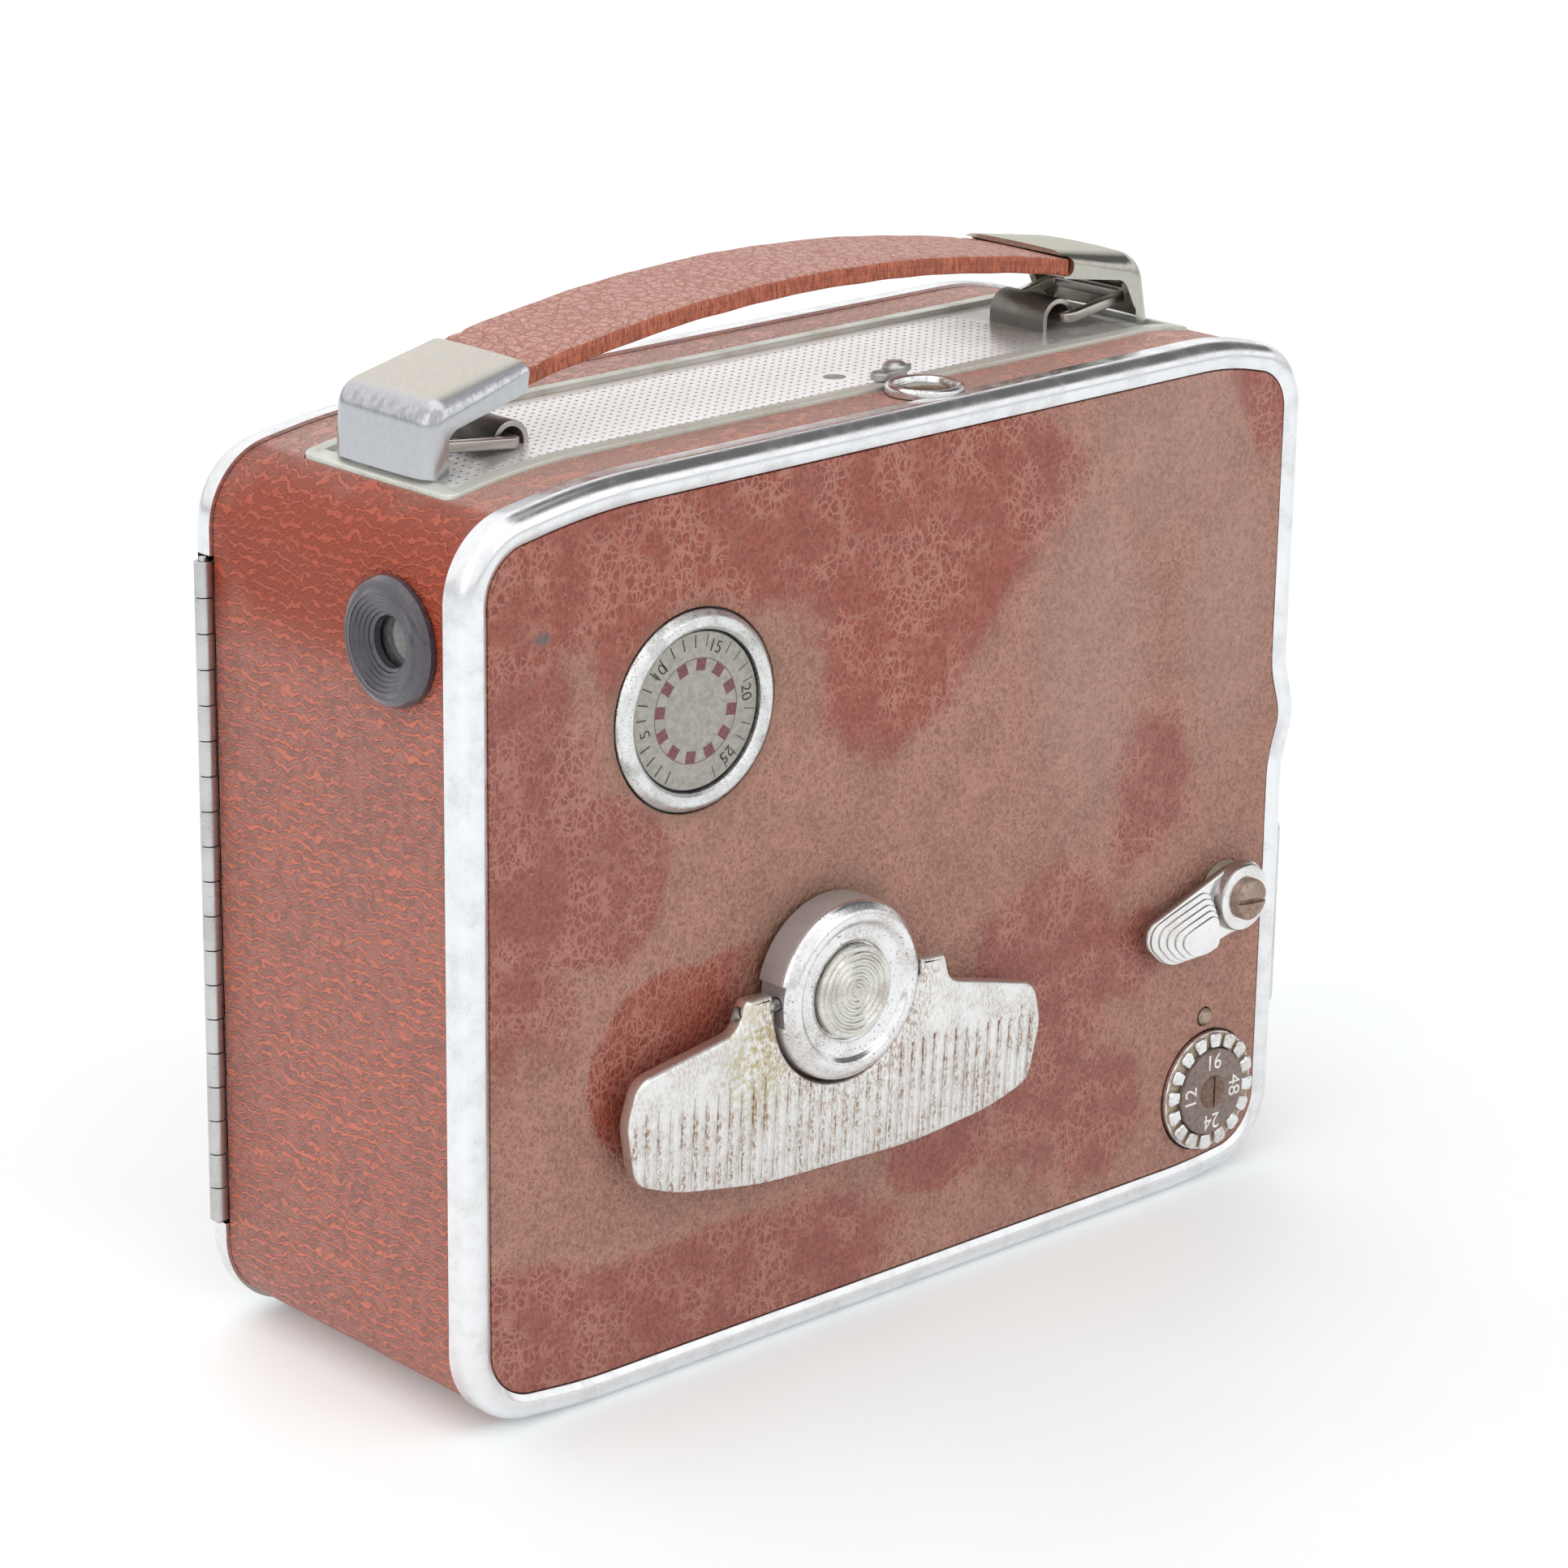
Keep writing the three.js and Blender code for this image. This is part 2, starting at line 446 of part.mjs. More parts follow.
function buildFinder() {
  const cup = [[3.1, -69.6], [3.1, -71.5], [5.5, -71.9], [6, -72.3], [6.4, -72], [6.5, -71.2], [7.8, -70.9],
    [8, -70.5], [8, -70], [5.9, -70], [5.9, -66.6], [5.2, -66.6], [5.2, -69.6]];
  const finder = new THREE.Group();
  finder.position.set(0, FINDER.y, FINDER.z);
  group.add(finder);
  piece('eyepiece_cup', turnedX(cup), BAKELITE, finder);
  piece('eyepiece_lens', turnedX([[0, -69.4], [3, -69.1], [5, -68.6], [5, -68], [0, -67.4]], 20), GLASS, finder);
  piece('finder_tube', turnedX(tube(5.3, 6, -66.3, 69.9), 20), BLACK, finder);
  piece('finder_front_lens', turnedX([[0, 70.3], [5.7, 70.3], [5.7, 71.6], [3.5, 72.2], [0, 72.4]], 20), GLASS, finder);
}

function buildFootageDial() {
  const dial = new THREE.Group();
  dial.position.set(FOOTAGE.x, 0, FOOTAGE.z);
  group.add(dial);
  piece('dial_bezel', turnedY([[10.2, -25.8], [10.2, -26.7], [10.7, -27.15], [11.6, -27.3], [12.3, -26.95],
    [12.6, -26.4], [12.6, -25.8]], 24), BRIGHT, dial);
  piece('footage_dial', turnedY([[0, -26.35], [9.8, -26.35], [9.8, -25.8], [2.5, -25.8], [2.5, -20], [0, -20]]),
    DIAL_GREY, dial);
}

function buildKey() {
  const key = new THREE.Group();
  key.position.set(KEY.x, 0, KEY.z);
  key.rotation.y = KEY.tilt;
  group.add(key);
  const pinHeight = -0.3;
  const alongPin = (radius, half) => turnedX(rod(radius, -half, half), 8).translate(0, KEY_PIN_Y, pinHeight);
  const drum = turnedY([[0, -31.6], [6.3, -31.6], [6.3, -32.5], [7.2, -32.85], [10.2, -32.9], [11.3, -32.45],
    [11.8, -31.3], [11.8, -27.1], [0, -27.1]], 24);
  const slot = (x0, x1) => box(x0, x1, -31.9, -26, -3, 2.4);
  piece('key_hub', cut(drum, alongPin(0.95, 20), slot(10.9, 13), slot(-13, -10.9)), BRIGHT, key);
  piece('key_button', turnedY([[0, -33.15], [5.4, -33.1], [6.1, -32.7], [6.1, -31.75], [0, -31.75]]), SATIN, key);
  piece('key_hinge_pin', alongPin(0.8, 16.4), DARK_STEEL, key);

  const half = [[12.7, 1.5], [17.2, 1.5, 0.6], [17.9, -2.2, 1.2], [33.9, -5.6, 3.2], [35.4, -11, 6],
    [33.8, -19, 3.5], [27, -21.4, 30], [13, -23.3, 60]];
  const mirrored = half.map(([a, b, radius]) => [-a, b, radius]).reverse();
  const bay = arc(0, 0, 12.3, 183, 357, 14);
  const outline = rounded([...half, ...mirrored, [-12.7, -0.6], ...bay, [12.7, -0.6]]);
  const wing = plateY(outline, -31.3, -28.9);
  piece('key_wing', cut(wing, alongPin(0.95, 20)), BRIGHT, key);

  piece('winding_arbor', turnedY(rod(3, -26.95, -5.6), 16), DARK_STEEL, key);
}

function buildMotor() {
  const motor = new THREE.Group();
  motor.position.set(KEY.x, 0, KEY.z);
  group.add(motor);
  const turns = 3.5;
  const steps = 36;
  const strip = 0.9;
  const spiral = (offset) => Array.from({ length: steps + 1 }, (_, i) => {
    const turn = (i / steps) * turns * 2 * Math.PI;
    const radius = 4.2 + (14.4 * i) / steps + offset;
    return [radius * Math.cos(turn), radius * Math.sin(turn)];
  });
  piece('mainspring', plateY([...spiral(0), ...spiral(strip).reverse()], -19, -9), DARK_STEEL, motor);
  const drum = turnedY([[3.4, -6.6], [19.8, -6.6], [19.8, -20.5], [21, -20.5], [21, -5.4], [3.4, -5.4]], 24);
  const rim = plateY(toothed(0, 0, 22.2, 23.6, 30), -7, -5.4, [circle(0, 0, 20.4, 24)]);
  piece('spring_barrel', join(drum, rim), BRASS, motor);
}

function buildTransport() {
  const wall = plateY(inset(SHELL_DEPTH + SHELL_WALL + 0.4), -1, 0.6, [circle(TAKEUP.x, TAKEUP.z, 2.6, 16)]);
  const lensRoom = box(54, 90, -5, 5, -5, 130);
  const bushRoom = box(BUSH.x - 7.5, BUSH.x + 7.5, -5, 5, -5, 9.4);
  piece('mechanism_plate', cut(wall, lensRoom, bushRoom), BLACK);

  const spool = [[2.5, 2.6], [25.4, 2.6], [25.4, 3.3], [8, 3.3], [8, 19.5], [25.4, 19.5], [25.4, 20.2], [2.5, 20.2]];
  const supply = new THREE.Group();
  supply.position.set(FOOTAGE.x, 0, FOOTAGE.z);
  const takeup = new THREE.Group();
  takeup.position.set(TAKEUP.x, 0, TAKEUP.z);
  group.add(supply, takeup);
  piece('supply_spindle', turnedY([[0, 0.75], [5, 0.75], [5, 1.6], [2.2, 1.6], [2.2, 20.6], [0, 20.6]], 16),
    BRIGHT, supply);
  piece('supply_spool', turnedY(spool, 24), SATIN, supply);
  piece('supply_film_roll', turnedY(tube(8.3, 21.5, 3.5, 19.3), 24), FILM, supply);
  piece('takeup_spool', turnedY(spool, 24), SATIN, takeup);
  piece('takeup_film_roll', turnedY(tube(8.3, 12.5, 3.5, 19.3), 24), FILM, takeup);
  const gear = plateY(toothed(0, 0, 8.8, 10, 14), -4.6, -3);
  piece('takeup_drive', join(gear, turnedY(rod(2.2, -4, 20.6), 16)), BRASS, takeup);

  const gateHoles = [[[4.5, 63.5], [9.5, 63.5], [9.5, 67.3], [4.5, 67.3]],
    [[2.6, 62], [3.5, 62], [3.5, 69], [2.6, 69]]];
  piece('film_gate', plateX(roundedBox(1.6, 20.4, 48, 83, 1.5), 58.4, 59.6, gateHoles), BRIGHT);
  piece('pressure_pad', plateX(roundedBox(4, 19.5, 52, 79, 1), 55.6, 57.9), BLACK);
  piece('claw', join(box(60, 60.9, 2.4, 3.7, 63.6, 67.2), box(58.2, 60.4, 2.75, 3.35, 65, 65.8)), BRIGHT);

  const sector = [[0, 0], ...arc(0, 0, 15, 65, 295, 16)];
  const blade = plateX(sector, 61.6, 62.1);
  piece('shutter_disc', join(blade, turnedX(rod(2, 56, 62.1), 14)), BLACK).position.set(0, -5, LENS.z);
}

function buildLens() {
  const lens = new THREE.Group();
  lens.position.set(0, LENS.y, LENS.z);
  group.add(lens);
  piece('lens_mount', turnedX([[8.6, 63.5], [9.9, 63.5], [9.9, 73.8], [12.2, 73.8], [12.2, 75.2], [11.6, 75.8],
    [8.6, 75.8]], 24), BRIGHT, lens);
  piece('lens_barrel', turnedX([[6.2, 64], [8.4, 64], [8.4, 80.6], [9.6, 80.6], [9.6, 84], [9.1, 84.5], [7.4, 84.5],
    [6.2, 83]], 24), BLACK, lens);
  piece('aperture_ring', turnedX([[8.6, 76.1], [10.4, 76.1], [10.4, 80.3], [8.6, 80.3]], 24), SATIN, lens);
  piece('front_lens_element', turnedX([[0, 79], [6, 79.6], [6, 81], [3.5, 81.9], [0, 82.3]], 20), GLASS, lens);
  piece('rear_lens_element', turnedX([[0, 65.2], [3.5, 65.6], [6, 66.4], [6, 67.4], [0, 67.8]], 20), GLASS, lens);
}

function buildControls() {
  const lever = new THREE.Group();
  lever.position.set(LEVER.x, 0, LEVER.z);
  group.add(lever);
  const blade = rounded([[-18.2, -3.1, 1.4], [-14.1, -7.2, 1.5], [-8.9, -7.2, 3], [-1.2, -5.4, 3], [4.6, -4.9, 2],
    [6.1, 0.6, 3], [3.5, 4.4, 3], [-1.5, 4.6, 3], [-13.5, 0.5, 3], [-17.5, -0.9, 1.2]], 3);
  piece('run_lever', join(
    plateY(blade, -30.4, -28.1), turnedY([[0, -31.2], [4.3, -31.2], [4.9, -30.6], [4.9, -27], [1.9, -27], [1.9, -20],
      [0, -20]], 18)), BRIGHT, lever);
  const head = turnedY([[0, -32.4], [2.9, -32.4], [3.28, -32.1], [3.28, -31.35], [0, -31.35]], 20);
  piece('lever_screw', cut(head, box(-4, 4, -33, -31.9, -0.35, 0.35)), BRIGHT, lever);

  const speed = new THREE.Group();
  speed.position.set(SPEED.x, 0, SPEED.z);
  group.add(speed);
  piece('speed_dial_ring', plateY(toothed(0, 0, 7.7, 8.5, 16), -27.6, -25.85, [circle(0, 0, 6.3, 20)]), BRIGHT, speed);
  piece('speed_dial_face', turnedY([[0, -28.1], [2.8, -28.1], [2.8, -27.8], [6.1, -27.8], [6.1, -25.9], [1.9, -25.9],
    [1.9, -20], [0, -20]], 18), DIAL_BROWN, speed);
}

buildBody();
buildDoor();
buildHinge();
buildTop();
buildHandle();
buildFinder();
buildFootageDial();
buildKey();
buildMotor();
buildTransport();
buildLens();
buildControls();

export default group;
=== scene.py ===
"""Looks for the spring-wound cine camera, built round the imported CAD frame.

Lengths are millimetres unless a name says otherwise; the mesh functions turn them into metres.
+X is the lens end, +Y the film door, +Z up, the same frame as the CAD model.
"""

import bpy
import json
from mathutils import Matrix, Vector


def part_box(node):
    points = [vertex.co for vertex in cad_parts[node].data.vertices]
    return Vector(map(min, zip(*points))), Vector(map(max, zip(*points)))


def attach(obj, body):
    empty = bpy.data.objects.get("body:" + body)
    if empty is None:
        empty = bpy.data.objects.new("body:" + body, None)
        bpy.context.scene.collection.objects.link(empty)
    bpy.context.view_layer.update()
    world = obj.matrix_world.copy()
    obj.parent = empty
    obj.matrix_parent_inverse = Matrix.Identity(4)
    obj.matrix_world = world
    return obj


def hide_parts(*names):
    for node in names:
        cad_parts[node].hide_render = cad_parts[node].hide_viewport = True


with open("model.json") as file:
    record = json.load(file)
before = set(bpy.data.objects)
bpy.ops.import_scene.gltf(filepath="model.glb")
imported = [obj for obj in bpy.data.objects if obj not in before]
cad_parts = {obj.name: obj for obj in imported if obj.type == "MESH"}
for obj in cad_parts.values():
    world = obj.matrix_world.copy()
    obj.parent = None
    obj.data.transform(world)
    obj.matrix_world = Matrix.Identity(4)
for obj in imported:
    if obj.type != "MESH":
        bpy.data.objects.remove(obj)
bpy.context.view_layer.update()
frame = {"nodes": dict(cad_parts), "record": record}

import json
import math
import random

import bmesh
import bpy
from mathutils import Matrix, Vector
from mathutils.geometry import tessellate_polygon

MM = 0.001
RECORD = frame["record"]
BODY_OF = {node: body for body, nodes in RECORD["behaviour"]["bodies"].items() for node in nodes}


def span(node):
    """Lowest and highest corner of a CAD node, in millimetres."""
    low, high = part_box(node)
    return low / MM, high / MM


def middle(node):
    low, high = span(node)
    return (low + high) / 2


# ---------------------------------------------------------------- driving places, read from the frame
TRIM_LOW, TRIM_HIGH = span("key_side_trim")
FACE = -span("key_side_covering")[0].y
REAR_X = TRIM_LOW.x
FRONT_X = TRIM_HIGH.x - 1.75  # without the swelling over the lens
BUMP = {"z": middle("lens_mount").z + 0.1, "half": 8.5, "rise": TRIM_HIGH.x - FRONT_X}
KEY = middle("key_hub")
KEY_TILT = math.radians(2.6)
KEY_PIN = (-30, KEY.z - 0.3)  # y and z of the wing's hinge pin
FOOTAGE = middle("footage_dial")
SPEED = middle("speed_dial_face")
LEVER = middle("lever_screw")
LENS = middle("lens_barrel")
FINDER = middle("finder_tube")
WINDOW = middle("top_window_ring")
LATCH = middle("door_latch")
BUSH = middle("tripod_bush")
SUPPLY = middle("supply_spool")
TAKEUP = middle("takeup_spool")
HINGE = (-70.8, 23.6)
RIVET = (58.8, 24.5)
GAP = 0.15
TRIM_WIDTH = 3.65
FLANGE_Y = 22.75  # where the trims' side flanges start
LEATHER = 0.55
SHELL_DEPTH = 1.15
WING_PITCH = 1.94
STRAP = {"crest_x": 3.5, "radius": 225, "thick": 2.45}

# Corners of the body's outer face in x and z with their radii, anticlockwise seen from the winding side.
BODY_CORNERS = [
    (REAR_X, 1.9, 10.6), (-52, 0, 90), (57, 0, 90), (FRONT_X, 1.8, 10.6),
    (FRONT_X, 115.9, 9.6), (58.4, 119.15, 44), (-50.4, 117.1, 94), (REAR_X, 113.3, 10.6),
]


# ---------------------------------------------------------------- outlines
def circle(a, b, radius, steps=48):
    return [(a + radius * math.cos(2 * math.pi * i / steps), b + radius * math.sin(2 * math.pi * i / steps))
            for i in range(steps)]


def arc(a, b, radius, start, end, steps):
    """Points of an arc between two angles in degrees."""
    turns = [math.radians(start + (end - start) * i / steps) for i in range(steps + 1)]
    return [(a + radius * math.cos(t), b + radius * math.sin(t)) for t in turns]


def rounded(corners, closed=True, fine=0.35):
    """A polygon or a line whose corners (a, b, radius) are rounded; a corner without a radius stays sharp."""
    points = []
    count = len(corners)
    for i, corner in enumerate(corners):
        spot = Vector(corner[:2])
        radius = corner[2] if len(corner) > 2 else 0
        if not radius or (not closed and i in (0, count - 1)):
            points.append(tuple(spot))
            continue
        back = (Vector(corners[i - 1][:2]) - spot).normalized()
        ahead = (Vector(corners[(i + 1) % count][:2]) - spot).normalized()
        half = math.acos(max(-1, min(1, back.dot(ahead)))) / 2
        side = 1 if back.x * ahead.y - back.y * ahead.x < 0 else -1
        centre = spot + (back + ahead).normalized() * radius / math.sin(half)
        start = spot + back * radius / math.tan(half) - centre
        sweep = math.pi - 2 * half
        steps = max(3, min(24, math.ceil(radius * sweep / fine)))
        for k in range(steps + 1):
            turn = side * sweep * k / steps
            points.append((centre.x + start.x * math.cos(turn) - start.y * math.sin(turn),
                           centre.y + start.x * math.sin(turn) + start.y * math.cos(turn)))
    return points


def box_line(a0, a1, b0, b1):
    return [(a0, b0), (a1, b0), (a1, b1), (a0, b1)]


def rounded_box(a0, a1, b0, b1, radius):
    return rounded([(a, b, radius) for a, b in box_line(a0, a1, b0, b1)])


def body_outline():
    """Samples (x, z, nx, nz) round the body; the front edge swells out over the lens."""
    samples = []
    for i, (x, z, radius) in enumerate(BODY_CORNERS):
        before, after = BODY_CORNERS[i - 1], BODY_CORNERS[(i + 1) % len(BODY_CORNERS)]
        arriving = math.atan2(z - before[1], x - before[0])
        turn = (math.atan2(after[1] - z, after[0] - x) - arriving) % (2 * math.pi)
        reach = radius * math.tan(turn / 2)
        centre_x = x - reach * math.cos(arriving) - radius * math.sin(arriving)
        centre_z = z - reach * math.sin(arriving) + radius * math.cos(arriving)
        steps = max(6, math.ceil(math.degrees(turn) / 3))
        for k in range(steps + 1):
            heading = arriving + turn * k / steps
            nx, nz = math.sin(heading), -math.cos(heading)
            samples.append((centre_x + radius * nx, centre_z + radius * nz, nx, nz))
        if x == FRONT_X and z < BUMP["z"]:
            samples += bump_samples()
    return samples


def bump_samples(steps=32):
    samples = []
    for i in range(steps + 1):
        t = 2 * i / steps - 1
        rise = BUMP["rise"] / 2 * (1 + math.cos(math.pi * t))
        slope = -BUMP["rise"] / 2 * math.pi * math.sin(math.pi * t) / BUMP["half"]
        size = math.hypot(1, slope)
        samples.append((FRONT_X + rise, BUMP["z"] + t * BUMP["half"], 1 / size, -slope / size))
    return samples


OUTLINE = body_outline()
TOP_EDGE = sorted((x, z) for x, z, _, nz in OUTLINE if z > 100 and nz > 0.3)


def inset(depth):
    return [(x - nx * depth, z - nz * depth) for x, z, nx, nz in OUTLINE]


def top_at(x):
    """Height of the outer face's top."""
    for (x0, z0), (x1, z1) in zip(TOP_EDGE, TOP_EDGE[1:]):
        if x <= x1:
            return z0 + (z1 - z0) * (x - x0) / (x1 - x0)
    return TOP_EDGE[-1][1]


# ---------------------------------------------------------------- meshes
def link(name, data):
    obj = bpy.data.objects.new(name, data)
    bpy.context.scene.collection.objects.link(obj)
    return obj


def made_of(obj):
    """A new mesh with an object's modifiers or its curve worked out."""
    bpy.context.view_layer.update()
    return bpy.data.meshes.new_from_object(obj.evaluated_get(bpy.context.evaluated_depsgraph_get()))


def shade(mesh, smooth):
    """Smooth but for edges sharper than the angle."""
    mesh.polygons.foreach_set("use_smooth", [True] * len(mesh.polygons))
    mesh.set_sharp_from_angle(angle=math.radians(smooth))


def make(name, points, faces, smooth=35, second=()):
    """A mesh object from points in millimetres, cleaned and with its faces turned outward.
    second lists the faces that take the second material."""
    mesh = bpy.data.meshes.new(name)
    mesh.from_pydata([(x * MM, y * MM, z * MM) for x, y, z in points], [], faces)
    for index in second:
        mesh.polygons[index].material_index = 1
    work = bmesh.new()
    work.from_mesh(mesh)
    bmesh.ops.remove_doubles(work, verts=work.verts, dist=1e-7)
    bmesh.ops.dissolve_degenerate(work, edges=work.edges, dist=1e-8)
    bmesh.ops.recalc_face_normals(work, faces=work.faces)
    work.to_mesh(mesh)
    work.free()
    shade(mesh, smooth)
    return link(name, mesh)


def skin(rows, size, closed=False):
    """Faces between equal closed rows of points; closed joins the last row to the first."""
    faces = []
    for i in range(rows if closed else rows - 1):
        above = (i + 1) % rows
        for j in range(size):
            k = (j + 1) % size
            faces.append([i * size + j, i * size + k, above * size + k, above * size + j])
    return faces


def filled(rings, points):
    """Triangles that fill one ring of point indices, or the space between several."""
    flat = [index for ring in rings for index in ring]
    return [[flat[k] for k in triangle]
            for triangle in tessellate_polygon([[Vector(points[index]) for index in ring] for ring in rings])]


PLACE = {
    "X": lambda a, b, along: (along, a, b),
    "Y": lambda a, b, along: (a, along, b),
    "Z": lambda a, b, along: (a, b, along),
}


def turned(name, profile, axis, centre, steps=72, ripple=None, smooth=35):
    """A turned piece. The profile holds (radius, place along the axis, fillet radius).
    The centre is in the other two axes. ripple(turn, radius, along) may change the radius, as knurling does."""
    open_ends = profile[0][0] == 0 and profile[-1][0] == 0
    points, faces, rows = [], [], []
    for radius, along in rounded(profile, closed=not open_ends, fine=0.12):
        row = []
        for i in range(steps if radius > 1e-6 else 1):
            turn = 2 * math.pi * i / steps
            out = ripple(turn, radius, along) if ripple and radius > 1e-6 else radius
            row.append(len(points))
            points.append(PLACE[axis](centre[0] + out * math.cos(turn), centre[1] + out * math.sin(turn),
                                      along))
        rows.append(row)
    for one, other in list(zip(rows, rows[1:])) + ([] if open_ends else [(rows[-1], rows[0])]):
        for i in range(steps):
            k = (i + 1) % steps
            corners = [one[i % len(one)], one[k % len(one)], other[k % len(other)], other[i % len(other)]]
            corners = list(dict.fromkeys(corners))
            if len(corners) > 2:
                faces.append(corners)
    return make(name, points, faces, smooth)


def rod(name, radius, low, high, axis, centre, steps=72):
    return turned(name, [(0, low), (radius, low), (radius, high), (0, high)], axis, centre, steps)


def loop_normals(loop, outward):
    """Mitred normals of a closed loop; outward is 1 for an outer loop, -1 for a hole."""
    area = sum(a[0] * b[1] - b[0] * a[1] for a, b in zip(loop, loop[1:] + loop[:1]))
    sign = outward * (1 if area > 0 else -1)
    normals = []
    for i, spot in enumerate(loop):
        before, after = loop[i - 1], loop[(i + 1) % len(loop)]
        one = Vector((spot[1] - before[1], before[0] - spot[0])).normalized()
        two = Vector((after[1] - spot[1], spot[0] - after[0])).normalized()
        both = (one + two).normalized()
        normals.append(both * sign / max(0.5, both.dot(two)))
    return normals


def plate(name, outline, low, high, axis="Y", holes=(), bevel=0.0):
    """A flat plate between two heights with rounded edges and holes."""
    rows = [(0.0, low), (0.0, high)]
    if bevel:
        bends = [math.pi / 8 * k for k in range(5)]
        rows = [(bevel * (1 - math.sin(t)), low + bevel * (1 - math.cos(t))) for t in bends]
        rows += [(bevel * (1 - math.cos(t)), high - bevel * (1 - math.sin(t))) for t in bends]
    points, faces, bottom, top = [], [], [], []
    for i, loop in enumerate([list(outline)] + [list(hole) for hole in holes]):
        normals = loop_normals(loop, -1 if i else 1)
        base, size = len(points), len(loop)
        for depth, height in rows:
            points += [PLACE[axis](a - n.x * depth, b - n.y * depth, height) for (a, b),
                       n in zip(loop, normals)]
        faces += [[base + k for k in face] for face in skin(len(rows), size)]
        bottom.append(range(base, base + size))
        top.append(range(len(points) - size, len(points)))
    return make(name, points, faces + filled(bottom, points) + filled(top, points))


def around(name, profile):
    """A closed profile of (depth, y) points carried round the body's outline."""
    points = [(x - nx * depth, y, z - nz * depth) for x, z, nx, nz in OUTLINE for depth, y in profile]
    return make(name, points, skin(len(OUTLINE), len(profile), closed=True))


def block(name, x0, x1, y0, y1, z0, z1, bevel=0.0):
    return plate(name, box_line(x0, x1, z0, z1), y0, y1, bevel=bevel)


def carve(obj, *tools, smooth=35):
    """Cuts the tools out of a piece and removes them."""
    for tool in tools:
        cutter = obj.modifiers.new("cut", "BOOLEAN")
        cutter.operation, cutter.solver, cutter.object = "DIFFERENCE", "EXACT", tool
    done = made_of(obj)
    obj.modifiers.clear()
    obj.data = done
    shade(done, smooth)
    for tool in tools:
        bpy.data.objects.remove(tool)
    return obj


def joined(name, *objects):
    """One piece from several; each keeps its own materials."""
    work = bmesh.new()
    materials = []
    for obj in objects:
        first = len(work.faces)
        work.from_mesh(obj.data)
        work.faces.ensure_lookup_table()
        materials += [material for material in obj.data.materials if material not in materials]
        remap = [materials.index(material) for material in obj.data.materials]
        for face in work.faces[first:]:
            face.material_index = remap[face.material_index] if remap else 0
        bpy.data.objects.remove(obj)
    mesh = bpy.data.meshes.new(name)
    work.to_mesh(mesh)
    work.free()
    return coat(link(name, mesh), *materials)


def moved(obj, place, *turns):
    """Turns a piece's mesh, each (angle, axis) after the one behind it, and then moves it, in millimetres."""
    change = Matrix.Translation(Vector(place) * MM)
    for angle, axis in turns:
        change = change @ Matrix.Rotation(angle, 4, axis)
    obj.data.transform(change)
    return obj


def turn_about(obj, axis, centre, angle):
    """Turns a piece's mesh about an axis through a point."""
    spot = Vector(centre) * MM
    obj.data.transform(Matrix.Translation(spot) @ Matrix.Rotation(angle, 4, axis) @ Matrix.Translation(-spot))
    return obj


def tilt_key(obj):
    return turn_about(obj, "Y", KEY, KEY_TILT)


def coat(obj, *materials):
    """Gives a piece its materials, by their keys in M or as they are."""
    if obj.data.materials:
        obj.data.materials.clear()
    for material in materials:
        obj.data.materials.append(M[material] if isinstance(material, str) else material)
    return obj


def use_second(obj, where):
    """Second material on the faces for which where(how squarely they face along Y) holds."""
    for face in obj.data.polygons:
        if where(abs(face.normal.y)):
            face.material_index = 1
    return obj


def stands_for(obj, node, *materials):
    """The piece takes the place of a CAD node, on its body, with the materials given."""
    if materials:
        coat(obj, *materials)
    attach(obj, BODY_OF[node])
    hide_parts(node)


def goes_with(obj, node, material):
    """An extra piece on the body of a CAD node."""
    coat(obj, material)
    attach(obj, BODY_OF[node])


# ---------------------------------------------------------------- material nodes
def add_node(tree, kind, inputs=(), **settings):
    """A shader node; each input is a constant or another node's socket."""
    made = tree.nodes.new(kind)
    for key, value in settings.items():
        setattr(made, key, value)
    for key, value in dict(inputs).items():
        if isinstance(value, bpy.types.NodeSocket):
            tree.links.new(value, made.inputs[key])
        else:
            made.inputs[key].default_value = value
    return made


